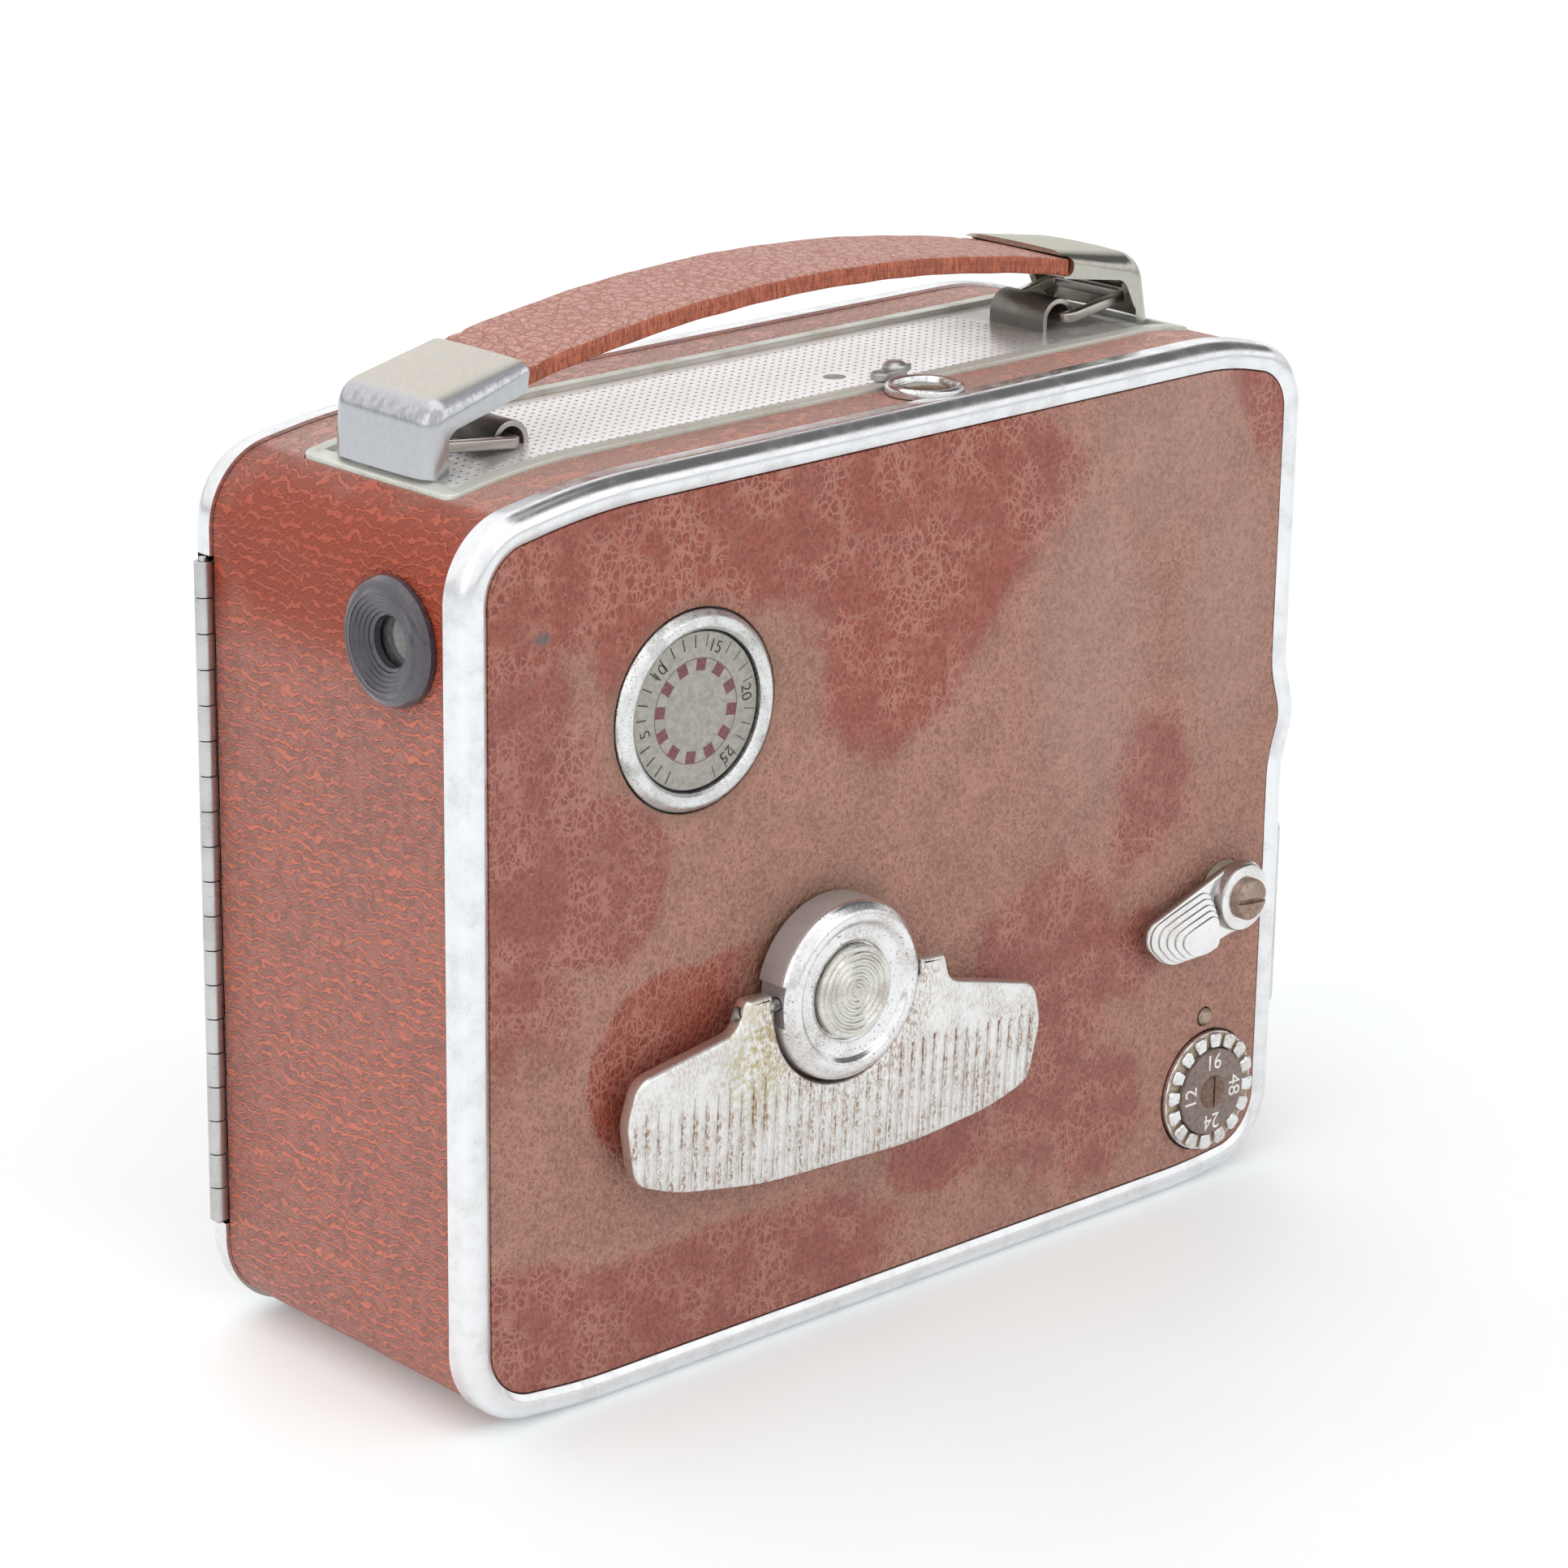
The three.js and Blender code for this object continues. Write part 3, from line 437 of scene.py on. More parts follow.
class Look:
    """Builds one procedural material. Feature sizes are in millimetres of the object's own space."""

    def __init__(self, name, roughness=0.5, metallic=0.0, color=(0.8, 0.8, 0.8), **sockets):
        self.material = bpy.data.materials.new(name)
        self.material.use_nodes = True
        self.tree = self.material.node_tree
        self.tree.nodes.clear()
        constants = {key.replace("_", " "): value for key, value in sockets.items()}
        self.shader = self.node("ShaderNodeBsdfPrincipled", {
            "Base Color": (*color, 1), "Roughness": roughness, "Metallic": metallic, **constants})
        self.node("ShaderNodeOutputMaterial", {"Surface": self.shader.outputs["BSDF"]})
        self.place = self.node("ShaderNodeTexCoord").outputs["Object"]

    def node(self, kind, inputs=(), **settings):
        return add_node(self.tree, kind, inputs, **settings)

    def done(self, base, roughness=None, height=None, depth=0.02, strength=0.6):
        """Joins up the shader; height gives the surface relief, its depth in millimetres."""
        joins = {"Base Color": base, "Roughness": roughness}
        if height is not None:
            joins["Normal"] = self.node("ShaderNodeBump", {
                "Height": height, "Distance": depth * MM, "Strength": strength}).outputs[0]
        for socket, value in joins.items():
            if value is not None:
                self.tree.links.new(value, self.shader.inputs[socket])
        return self.material

    def axes(self, at=None):
        """The x, y and z of the coordinates."""
        return self.node("ShaderNodeSeparateXYZ", {0: at or self.place}).outputs

    def up(self):
        """How far the surface looks upward."""
        return self.axes(self.node("ShaderNodeNewGeometry").outputs["Normal"])[2]

    def stretched(self, x=1.0, y=1.0, z=1.0, turn=(0, 0, 0), at=None):
        return self.node("ShaderNodeMapping",
                         {"Vector": at or self.place, "Scale": (x, y, z), "Rotation": turn}
                         ).outputs[0]

    def vector(self, operation, one, other=None, scale=None):
        inputs = {key: value for key, value in ((0, one), (1, other), ("Scale", scale)) if value is not None}
        return self.node("ShaderNodeVectorMath", inputs, operation=operation).outputs

    def warped(self, size, amount):
        """Coordinates pushed about by noise; amount is in millimetres."""
        push = self.node("ShaderNodeTexNoise",
                         {"Vector": self.place, "Scale": 1 / (size * MM), "Detail": 2.0})
        centred = self.vector("SUBTRACT", push.outputs["Color"], (0.5, 0.5, 0.5))[0]
        return self.vector("ADD", self.place, self.vector("SCALE", centred, scale=2 * amount * MM)[0])[0]

    def noise(self, size, detail=3.0, rough=0.5, at=None):
        return self.node("ShaderNodeTexNoise", {
            "Vector": at or self.place, "Scale": 1 / (size * MM), "Detail": detail, "Roughness": rough,
        }).outputs["Fac"]

    def cells(self, size, at=None, feature="DISTANCE_TO_EDGE"):
        """Distance to the borders of irregular cells."""
        return self.node("ShaderNodeTexVoronoi", {"Vector": at or self.place, "Scale": 1 / (size * MM)},
                         feature=feature).outputs["Distance"]

    def dots(self, size, at=None):
        """Distance to the middles of irregular cells."""
        return self.cells(size, at, "F1")

    def band(self, value, low, high, to_low=0.0, to_high=1.0):
        """Smooth step of a value between two limits."""
        return self.node("ShaderNodeMapRange", {
            "Value": value, "From Min": low, "From Max": high, "To Min": to_low, "To Max": to_high,
        }, interpolation_type="SMOOTHSTEP").outputs[0]

    def math(self, operation, one, other=0.0):
        return self.node("ShaderNodeMath", {0: one, 1: other}, operation=operation).outputs[0]

    def chain(self, operation, values):
        result = values[0]
        for value in values[1:]:
            result = self.math(operation, result, value)
        return result

    def times(self, *values):
        return self.chain("MULTIPLY", values)

    def plus(self, *values):
        return self.chain("ADD", values)

    def most(self, *values):
        return self.chain("MAXIMUM", values)

    def mix(self, factor, one, other):
        """A colour between two; each is a constant or a socket."""
        colors = {6: one, 7: other}
        inputs = {key: (*value, 1) if isinstance(value, tuple) else value for key, value in colors.items()}
        return self.node("ShaderNodeMix", {0: factor, **inputs}, data_type="RGBA").outputs[2]

    def spot(self, centre, radius, soft, flat=None):
        """1 near a point in millimetres, 0 away from it; flat stretches each axis."""
        away = self.vector("SUBTRACT", self.place, tuple(c * MM for c in centre))[0]
        if flat:
            away = self.vector("MULTIPLY", away, flat)[0]
        return self.band(self.vector("LENGTH", away)["Value"], (radius + soft) * MM, (radius - soft) * MM)

    def spots(self, *patches):
        """Largest of several soft spots on the winding side: (x, z, radius, softness, stretch in x, in z)."""
        return self.most(*[self.spot((x, -FACE, z), radius, soft, (wide, 0, tall))
                           for x, z, radius, soft, wide, tall in patches])

    def layers(self, base, *coats):
        """Colours laid over a base one after another; each is (factor, colour)."""
        for factor, color in coats:
            base = self.mix(factor, base, color)
        return base


def darker(color, part):
    return tuple(c * part for c in color)


# ---------------------------------------------------------------- materials
def ridges(look, at, period, sway, breaks):
    """Meandering ridges that run level, spaced up the z axis; 1 on a crest. Some of them break off."""
    wander = look.noise(period * 2.2, 2, 0.55, at=at)
    phase = look.plus(look.times(look.axes(at)[2], 2 * math.pi / (period * MM)), look.times(wander, sway))
    crest = look.band(look.math("SINE", phase), 0.0, 0.8)
    return look.times(crest, look.band(look.noise(period * 0.9, 2, 0.6, at=at), breaks - 0.14, breaks + 0.04))


def worn_leather():
    """The winding side: dusty brown over dark red, with a net of pale worn veins and unfaded patches."""
    look = Look("worn_leather")
    cells = look.cells(1.15, look.stretched(1.15, 1, 0.85, at=look.warped(1.8, 0.5)))
    vein = look.band(cells, 0.13, 0.03)
    long_at = look.stretched(1.2, 1, 0.75, turn=(0, 0.5, 0), at=look.warped(6, 2.5))
    crease = look.band(look.cells(3.6, long_at), 0.06, 0.012)
    fibre = look.noise(0.45, 3, 0.75)
    grain = look.band(fibre, 0.35, 0.65)
    blotch = look.noise(6, 4, 0.6)
    cloud = look.noise(24, 3, 0.55)
    kept = look.spots(
        (-49.5, 67.5, 11, 2.2, 1, 1), (-38, 41, 13.5, 1.6, 1, 1), (-27, 44, 11.5, 2, 0.9, 1),
        (3, 106, 21, 9, 0.85, 1), (-1, 86, 11, 7, 0.9, 0.9), (-40, 108, 18, 9, 0.6, 1.3),
        (-62, 78, 10, 9, 1, 0.33), (26, 37, 15, 9, 1.1, 0.6), (45, 60, 9, 8, 0.9, 0.9),
        (43, 37, 6, 5, 1, 1), (8, 18, 7, 1.8, 0.7, 1.3), (-32, 9, 14, 8, 0.42, 1.4),
        (-60, 13, 12, 8, 1, 1), (64, 110, 7, 6, 1, 1), (38, 16, 8, 6, 1, 0.8),
        (-44, 98, 8, 5, 1, 1), (24, 105, 7, 7, 1, 1))
    dusted = look.spots((58.5, 84, 7.5, 1.2, 1.1, 0.26), (-27, 63.5, 9, 4, 0.9, 1),
                        (20, 64, 15, 8, 0.8, 1), (-42, 26, 9, 5, 0.4, 1.4))
    kept = look.math("SUBTRACT", kept, look.times(dusted, 0.75))
    kept = look.band(look.plus(kept, look.band(blotch, 0.36, 0.64, -0.13, 0.13)), 0.15, 0.85)
    bright = look.spots((2, 102, 22, 10, 0.9, 0.8), (-38, 41, 15, 3, 1, 1),
                        (-38, 107, 18, 9, 0.6, 1.2), (64, 110, 8, 6, 1, 1))
    red = look.mix(grain, (0.190, 0.044, 0.030), (0.315, 0.088, 0.062))
    vivid = look.mix(grain, (0.195, 0.031, 0.016), (0.335, 0.066, 0.035))
    red = look.mix(look.times(bright, look.band(cloud, 0.3, 0.6, 0.65, 1.0)), red, vivid)
    dusty = look.mix(grain, (0.240, 0.110, 0.077), (0.400, 0.212, 0.162))
    dust = look.band(kept, 0, 1, 1.0, 0.05)
    veined = look.times(look.most(vein, crease), look.band(look.noise(7, 4), 0.38, 0.6, 0.08, 1.0))
    high = look.spots((8, 98, 34, 20, 0.6, 1.1))
    haze = look.spots((34, 83, 12, 8, 1.3, 0.6), (49, 107, 11, 8, 0.8, 1), (60, 84, 8, 5, 1, 0.45))
    haze = look.times(haze, look.band(look.noise(1.1, 4, 0.7), 0.38, 0.62, 0.25, 0.75), 0.55)
    # Painted shade: a darker ring on the leather round the footage dial and the winding key, where they stand off
    # the face, broken up by blotches.
    rim = look.spots((FOOTAGE.x, FOOTAGE.z, 13.8, 1.4, 1, 1), (KEY.x, KEY.z, 14.5, 3, 1, 1))
    speck = look.times(look.band(look.dots(0.9), 0.13, 0.07), look.band(look.noise(3, 2), 0.54, 0.62))
    stain = look.spots((-58.5, 99.5, 0.9, 0.6, 0.8, 1.3))
    base = look.layers(
        look.mix(dust, red, dusty),
        (look.times(veined, look.band(high, 0, 1, 0.5, 0.56)), (0.49, 0.235, 0.175)),
        (haze, (0.43, 0.295, 0.26)),
        (look.times(rim, look.band(blotch, 0.3, 0.6, 0.2, 0.6)), (0.22, 0.13, 0.085)),
        (look.times(speck, 0.6), (0.62, 0.55, 0.47)),
        (look.times(stain, 0.8), (0.10, 0.10, 0.105)))
    relief = look.plus(look.band(cells, 0.0, 0.25), look.times(fibre, 0.5))
    return look.done(base, look.band(dust, 0, 1, 0.42, 0.68), relief, 0.10, 0.9)


def ridged_leather(name, ridge_color, pit_colors, period=1.25, sway=13.0, fresh=None):
    """The band and the door: raised meandering ridges over darker pits; fresh is an unfaded spot."""
    look = Look(name)
    main = ridges(look, look.place, period, sway, 0.44)
    askew = look.stretched(1.1, 1.1, 1.1, turn=(0.5, 0.4, 0.5))
    ridge = look.most(main, look.times(ridges(look, askew, period * 0.6, sway * 0.7, 0.5), 0.6))
    fibre = look.noise(0.4, 3, 0.75)
    cloud = look.noise(14, 3, 0.5)
    base = look.layers(
        look.mix(look.band(look.noise(1.6, 3), 0.38, 0.62), *pit_colors),
        (look.band(fibre, 0.4, 0.7, 0.0, 0.35), ridge_color),
        (look.times(ridge, look.band(cloud, 0.3, 0.6, 0.65, 1.0)), ridge_color))
    if fresh:
        clean = look.times(look.spot(*fresh), look.band(cloud, 0.3, 0.5, 0.55, 1.0))
        base = look.mix(clean, base, look.mix(ridge, (0.27, 0.038, 0.012), (0.40, 0.060, 0.020)))
    base = look.mix(look.band(look.up(), 0.93, 0.99, 0.0, 0.42), base, (0.60, 0.42, 0.36))  # paler on faces that look straight up
    relief = look.plus(ridge, look.times(fibre, 0.3))
    return look.done(base, look.band(ridge, 0, 1, 0.58, 0.4), relief, 0.22, 1.0)


def strap_top_leather():
    """Strap: smooth pinkish top crossed by fine dark wrinkles."""
    look = Look("strap_leather")
    near = look.warped(2.4, 0.8)
    line = look.band(look.cells(1.5, look.stretched(0.95, 0.6, 1, at=near)), 0.10, 0.02)
    fine = look.band(look.cells(0.8, look.stretched(1, 0.7, 1, at=near)), 0.10, 0.02)
    dark = look.most(line, look.times(fine, 0.6))
    fibre = look.noise(0.5, 3, 0.7)
    base = look.mix(look.band(fibre, 0.3, 0.7), (0.49, 0.215, 0.165), (0.61, 0.32, 0.26))
    base = look.mix(look.times(dark, 0.55), base, (0.30, 0.085, 0.058))
    relief = look.math("SUBTRACT", look.times(fibre, 0.3), dark)
    return look.done(base, look.band(dark, 0, 1, 0.42, 0.6), relief, 0.14, 0.9)


def worn_metal(name, color, dirt, roughness, dirty, size, metallic, relief):
    """Bare or plated metal with uneven gloss, fine marks and specks of dirt."""
    look = Look(name, metallic=metallic)
    patch = look.noise(size * 6, 4, 0.6)
    mark = look.noise(size * 0.35, 4, 0.7)
    speck = look.band(look.noise(size * 0.5, 3, 0.65), 0.66 - 0.12 * dirty, 0.72)
    smear = look.times(look.band(patch, 0.42, 0.7), look.band(mark, 0.35, 0.7), dirty)
    soiled = look.most(smear, look.times(speck, dirty))
    tone = look.mix(look.band(patch, 0.3, 0.7, 0.0, 0.5), color, darker(color, 0.86))
    gloss = look.plus(look.band(patch, 0.3, 0.7, *roughness), look.times(soiled, 0.35))
    return look.done(look.mix(soiled, tone, dirt), gloss, look.plus(mark, soiled), relief)


def cap_metal(name, side, top, reflection_streak_weight):
    """Nickel worn beige on top, satin on its sides, with painted dark reflection streaks on the bend of its back.
    """
    look = Look(name, metallic=1.0)
    mottle = look.noise(0.7, 4, 0.65)
    up = look.up()
    crown = look.times(look.band(up, 0.75, 0.97), look.band(look.noise(4, 3, 0.6), 0.25, 0.5, 0.6, 1.0))
    bend = look.times(look.band(up, 0.05, 0.3), look.band(up, 0.8, 0.5))
    # Painted reflection: blue-grey streaks on the bend stand in for dark surroundings mirrored in the rounded
    # metal.
    dark_reflection_streak = look.band(look.noise(1.3, 4, 0.7, at=look.stretched(1, 1.5, 0.45)), 0.46, 0.54)
    base = look.layers(
        side,
        (look.band(mottle, 0.35, 0.65, 0.0, 0.35), darker(side, 0.82)),
        (look.times(crown, look.band(mottle, 0.35, 0.6, 0.55, 1.0)), top),
        (look.times(bend, dark_reflection_streak, reflection_streak_weight), (0.30, 0.31, 0.34)))
    return look.done(base, look.band(crown, 0, 1, 0.22, 0.5), mottle, 0.008, 0.5)


def wing_metal():
    """The folding wing: satin, with rust in its grooves and a green-yellow bloom beside the hub."""
    look = Look("wing_metal", metallic=1.0)
    fleck = look.noise(0.55, 4, 0.75, at=look.stretched(1.5, 1, 0.7))
    patch = look.noise(4.5, 3, 0.6)
    bloom = look.times(look.spot((KEY.x - 15, KEY.y, KEY.z - 5.5), 4.5, 4.5, (1.1, 0, 0.7)),
                       look.band(look.noise(0.9, 4, 0.75), 0.42, 0.58))
    x, _, z = look.axes()
    across = look.math("SUBTRACT", x, KEY.x * MM)
    stripe = look.math("COSINE", look.times(across, 2 * math.pi / (WING_PITCH * MM)))
    grooved = look.times(look.band(stripe, 0.3, 0.85), look.band(z, (KEY.z - 8.5) * MM, (KEY.z - 11) * MM))
    rust = look.times(look.band(fleck, 0.465, 0.56), look.band(patch, 0.38, 0.58, 0.3, 1.0),
                      look.band(grooved, 0, 1, 0.38, 1.0))
    near_hub = look.times(look.spot(KEY, 16, 4, (1, 0, 1)), look.band(fleck, 0.47, 0.58, 0, 0.8))
    rust = look.most(rust, near_hub)
    base = look.layers(
        (0.83, 0.83, 0.825),
        (look.band(patch, 0.35, 0.65), (0.755, 0.755, 0.745)),
        (look.times(grooved, 0.25), (0.52, 0.50, 0.46)),
        (look.times(bloom, 0.9), (0.56, 0.49, 0.25)),
        (look.times(rust, 0.9), (0.38, 0.20, 0.10)))
    gloss = look.plus(look.band(patch, 0.3, 0.7, 0.28, 0.38), look.times(look.most(rust, bloom), 0.3))
    return look.done(base, gloss, look.plus(fleck, bloom), 0.03)


def perforated_metal():
    """The top plate: bright, with painted shade and painted dark reflection, steel grey, near the handle's hooks.
    """
    look = Look("perforated_metal", metallic=0.3)
    patch = look.noise(6, 4, 0.65)
    mark = look.noise(0.6, 4, 0.7)
    # Painted shade and dark reflection: the plate turns steel grey near both hooks.
    ends = look.most(look.spot((52, 0, 118), 14, 8, (1, 0.7, 0)), look.spot((-54, 0, 117), 7, 5, (1, 0.7, 0)))
    base = look.layers(
        (1.0, 1.0, 1.0),
        (look.band(mark, 0.4, 0.7), (0.97, 0.96, 0.945)),
        (look.times(ends, look.band(patch, 0.25, 0.6, 0.5, 1.0)), (0.36, 0.34, 0.315)))
    return look.done(base, look.band(patch, 0.3, 0.7, 0.2, 0.27), mark, 0.006, 0.5)


def plain_paint(name, color, roughness, size=0.8, relief=0.02, vary=0.15, **settings):
    """Paint, ink or moulded plastic with faint unevenness."""
    look = Look(name, **settings)
    mark = look.noise(size, 4, 0.6)
    light = tuple(min(1, c * (1 + vary)) for c in color)
    gloss = look.band(look.noise(size * 5), 0.3, 0.7, roughness - 0.06, roughness + 0.06)
    return look.done(look.mix(look.band(mark, 0.3, 0.7), darker(color, 1 - vary), light), gloss, mark, relief)


def crackle_paint():
    """Black wrinkle finish inside the film chamber."""
    look = Look("crackle_black", roughness=0.45)
    lumps = look.dots(0.5, look.warped(1.0, 0.3))
    base = look.mix(look.band(lumps, 0, 0.6), (0.035, 0.035, 0.036), (0.012, 0.012, 0.012))
    return look.done(base, height=lumps, depth=0.12, strength=0.9)


def strap_edge():
    """Raw cut edge of the strap: orange-red with dark upright striations."""
    look = Look("strap_edge", roughness=0.75)
    stria = look.noise(0.55, 4, 0.75, at=look.stretched(2.2, 1, 0.35))
    patch = look.noise(3, 3, 0.6, at=look.stretched(0.6, 1, 1))
    base = look.mix(look.band(stria, 0.36, 0.62), (0.20, 0.05, 0.032), (0.56, 0.165, 0.085))
    base = look.mix(look.band(patch, 0.45, 0.7, 0, 0.55), base, (0.30, 0.085, 0.055))
    return look.done(base, height=stria, depth=0.15, strength=0.8)


def clear_glass(name, tint, roughness=0.02, dusty=0.0):
    """Tinted glass with a faint film of dust."""
    look = Look(name, Transmission_Weight=1.0, IOR=1.5)
    film = look.noise(1.5, 4, 0.6)
    gloss = look.band(film, 0.35, 0.75, roughness, roughness + 0.05 + dusty)
    return look.done(look.mix(look.band(film, 0.4, 0.8, 0, 0.5), tint, darker(tint, 0.8)), gloss)


# Name, colour, colour of the dirt, range of roughness, how dirty, grain in mm, metallic and relief in mm.
METALS = {
    "trim": ("trim_aluminium", (0.83, 0.835, 0.855), (0.42, 0.41, 0.40), (0.15, 0.27), 0.35, 0.6, 1.0, 0.008),
    "bezel": ("bezel_aluminium", (0.76, 0.765, 0.765), (0.34, 0.34, 0.29), (0.2, 0.34), 1.0, 0.55, 1.0, 0.05),
    "sheet": ("sheet_metal", (0.66, 0.66, 0.66), (0.35, 0.33, 0.30), (0.28, 0.4), 0.3, 1.2, 1.0, 0.02),
    "frame": ("frame_pale", (0.70, 0.71, 0.65), (0.40, 0.35, 0.22), (0.42, 0.55), 0.45, 1.0, 0.5, 0.04),
    "gunmetal": ("gunmetal", (0.20, 0.185, 0.165), (0.55, 0.55, 0.52), (0.26, 0.42), 0.35, 0.6, 1.0, 0.05),
    "nickel": ("nickel_wire", (0.62, 0.575, 0.545), (0.3, 0.27, 0.24), (0.24, 0.34), 0.2, 1.2, 1.0, 0.02),
    "lead": ("lead_grey", (0.56, 0.56, 0.57), (0.3, 0.3, 0.29), (0.34, 0.46), 0.35, 0.9, 1.0, 0.08),
    "hub": ("hub_chrome", (0.83, 0.83, 0.84), (0.30, 0.19, 0.12), (0.10, 0.2), 0.8, 1.0, 1.0, 0.015),
    "hub_wall": ("hub_wall", (0.58, 0.57, 0.575), (0.34, 0.28, 0.24), (0.26, 0.38), 0.6, 0.8, 0.6, 0.05),
    "button": ("button_metal", (0.74, 0.735, 0.69), (0.34, 0.25, 0.14), (0.18, 0.3), 0.7, 0.6, 1.0, 0.04),
    "lever": ("lever_chrome", (0.84, 0.83, 0.83), (0.45, 0.36, 0.26), (0.08, 0.18), 0.45, 0.9, 1.0, 0.02),
    # The lever's step walls take a darker copy of its chrome: painted shade.
    "lever_step": ("lever_step", (0.46, 0.44, 0.43), (0.30, 0.24, 0.19), (0.14, 0.26), 0.4, 0.7, 1.0, 0.02),
    "boss": ("boss_green", (0.42, 0.42, 0.33), (0.22, 0.19, 0.12), (0.42, 0.6), 0.7, 0.7, 0.7, 0.06),
    "rusty": ("rusty_screw", (0.42, 0.33, 0.27), (0.26, 0.12, 0.07), (0.36, 0.52), 1.0, 0.9, 0.8, 0.06),
    "tan": ("tan_recess", (0.46, 0.38, 0.28), (0.30, 0.18, 0.10), (0.45, 0.6), 0.8, 0.8, 0.5, 0.04),
    "steel": ("steel", (0.58, 0.58, 0.58), (0.25, 0.22, 0.19), (0.25, 0.38), 0.3, 1.2, 1.0, 0.02),
    "brass": ("brass", (0.68, 0.50, 0.24), (0.25, 0.17, 0.08), (0.2, 0.34), 0.3, 1.2, 1.0, 0.02),
}
M = {key: worn_metal(*row) for key, row in METALS.items()}
M.update({
    "worn_leather": worn_leather(),
    "band_leather": ridged_leather("band_leather", (0.53, 0.142, 0.085),
                                   ((0.215, 0.11, 0.095), (0.33, 0.15, 0.125)),
                                   period=1.35, sway=17.0,
                                   fresh=((REAR_X + 1, -4, 105), 11, 5, (0.9, 0.16, 1.0))),
    "door_leather": ridged_leather("door_leather", (0.43, 0.13, 0.08),
                                   ((0.18, 0.07, 0.055), (0.27, 0.10, 0.075))),
    "strap_leather": strap_top_leather(),
    "strap_edge": strap_edge(),
    "cap": cap_metal("cap_nickel", (0.52, 0.525, 0.55), (0.66, 0.61, 0.535), 0.6),
    "cap_khaki": cap_metal("cap_khaki", (0.50, 0.485, 0.43), (0.60, 0.58, 0.48), 0.25),
    "perforated": perforated_metal(),
    # The holes' walls and floors are painted a darker grey: painted shade in the holes.
    "hole": plain_paint("hole_painted_shade", (0.60, 0.59, 0.575), 0.6, metallic=0.4),
    "wing": wing_metal(),
    "bakelite": plain_paint("bakelite", (0.043, 0.035, 0.048), 0.3, 0.6, 0.02, 0.3, Coat_Weight=0.9,
                            Coat_Roughness=0.12),
    "dial_grey": plain_paint("dial_grey", (0.355, 0.338, 0.30), 0.5, 0.7, 0.02, 0.14, metallic=0.35),
    "dial_brown": plain_paint("dial_brown", (0.20, 0.145, 0.125), 0.45, 0.7, 0.02, 0.25),
    "screw_brown": plain_paint("screw_brown", (0.17, 0.10, 0.075), 0.4, 0.5, 0.03, 0.4, metallic=0.4),
    "ink_black": plain_paint("ink_black", (0.045, 0.04, 0.038), 0.6),
    "ink_maroon": plain_paint("ink_maroon", (0.17, 0.06, 0.07), 0.6, 0.4, 0.01, 0.35),
    "ink_white": plain_paint("ink_white", (0.78, 0.76, 0.72), 0.6),
    "black": plain_paint("satin_black", (0.02, 0.02, 0.021), 0.38, 0.8),
    "crackle": crackle_paint(),
    "film": plain_paint("film_base", (0.055, 0.035, 0.025), 0.22, 0.5, 0.01, 0.25, Coat_Weight=0.4),
    "glass": clear_glass("lens_glass", (0.86, 0.92, 0.93)),
    "eye_glass": plain_paint("eyepiece_glass", (0.095, 0.098, 0.088), 0.12, 0.9, 0.004, 0.35,
                             Coat_Weight=1.0),
    "olive": clear_glass("olive_glass", (0.66, 0.62, 0.36), 0.08, 0.12),
    "olive_floor": plain_paint("olive_floor", (0.20, 0.175, 0.06), 0.5, 1.4, 0.05, 0.6),
})


# ---------------------------------------------------------------- the body
def window_seat():
    """A tool for the flat place under the window's ring."""
    return rod("seat", 5.2, 100, 125, "Z", (WINDOW.x, WINDOW.y))


def openings(lens_radius):
    """Tools for the lens, the finder and the window."""
    return [rod("lens", lens_radius, 60, 90, "X", (LENS.y, LENS.z)),
            rod("finder", 6.2, -90, 90, "X", (FINDER.y, FINDER.z)),
            rod("window", 3.6, 100, 125, "Z", (WINDOW.x, WINDOW.y))]


def sheet_line(node, radius, grow=0.0):
    """Outline of a flat CAD piece of the top or the bottom, a little larger all round."""
    low, high = span(node)
    return rounded_box(low.x - grow, high.x + grow, low.y - grow, high.y + grow, radius)


def build_trims():
    front, back = FACE + 0.5, FACE - LEATHER
    profile = rounded([(0, FLANGE_Y), (0, front, 2.3), (2.6, front, 1.2), (TRIM_WIDTH, front - 0.55, 0.2),
                       (TRIM_WIDTH, back), (1, back), (1, FLANGE_Y)], fine=0.2)
    key_side = around("trim_key_side", [(depth, -y) for depth, y in profile])
    stands_for(carve(key_side, window_seat()), "key_side_trim", "trim")
    low, high = span("hinge_door_leaf")
    room = block("room", -75, -69, 20, 25.55, low.z - 0.6, high.z + 0.6)
    stands_for(carve(around("trim_door", profile), room), "door_trim", "trim")


def build_wrap():
    """Leather band round the edge, with soft rounded borders beside the trims."""
    outer, depth = 0.5, 0.5 + LEATHER
    edge = span("leather_wrap")
    y0, y1 = edge[0].y - 0.18, edge[1].y + 0.27  # up to the trims on both sides
    profile = rounded([(outer, y0, 0.2), (depth, y0), (depth, y1), (outer, y1, 0.2)], fine=0.1)
    tools = openings(12.7)
    tools.append(plate("frame_room", sheet_line("top_frame", 1.7, GAP), 100, 130, "Z"))
    tools.append(plate("base_room", sheet_line("base_plate", 4, GAP), -5, 6, "Z"))
    stands_for(carve(around("leather_band", profile), *tools), "leather_wrap", "band_leather")


def build_shell():
    depth = SHELL_DEPTH
    shell = around("shell", [(depth, -24.45), (depth + 1.25, -24.45), (depth + 1.25, 22.3), (depth, 22.3)])
    stands_for(carve(shell, *openings(10.2)), "body_shell", "crackle")
    wall = plate("mechanism_wall", inset(depth + 1.65), -1, 0.6, holes=[circle(TAKEUP.x, TAKEUP.z, 2.6, 24)])
    room = block("room", 54, 90, -5, 5, -5, 130)
    bush = block("bush", BUSH.x - 7.5, BUSH.x + 7.5, -5, 5, -5, 9.4)
    stands_for(carve(wall, room, bush), "mechanism_plate", "crackle")


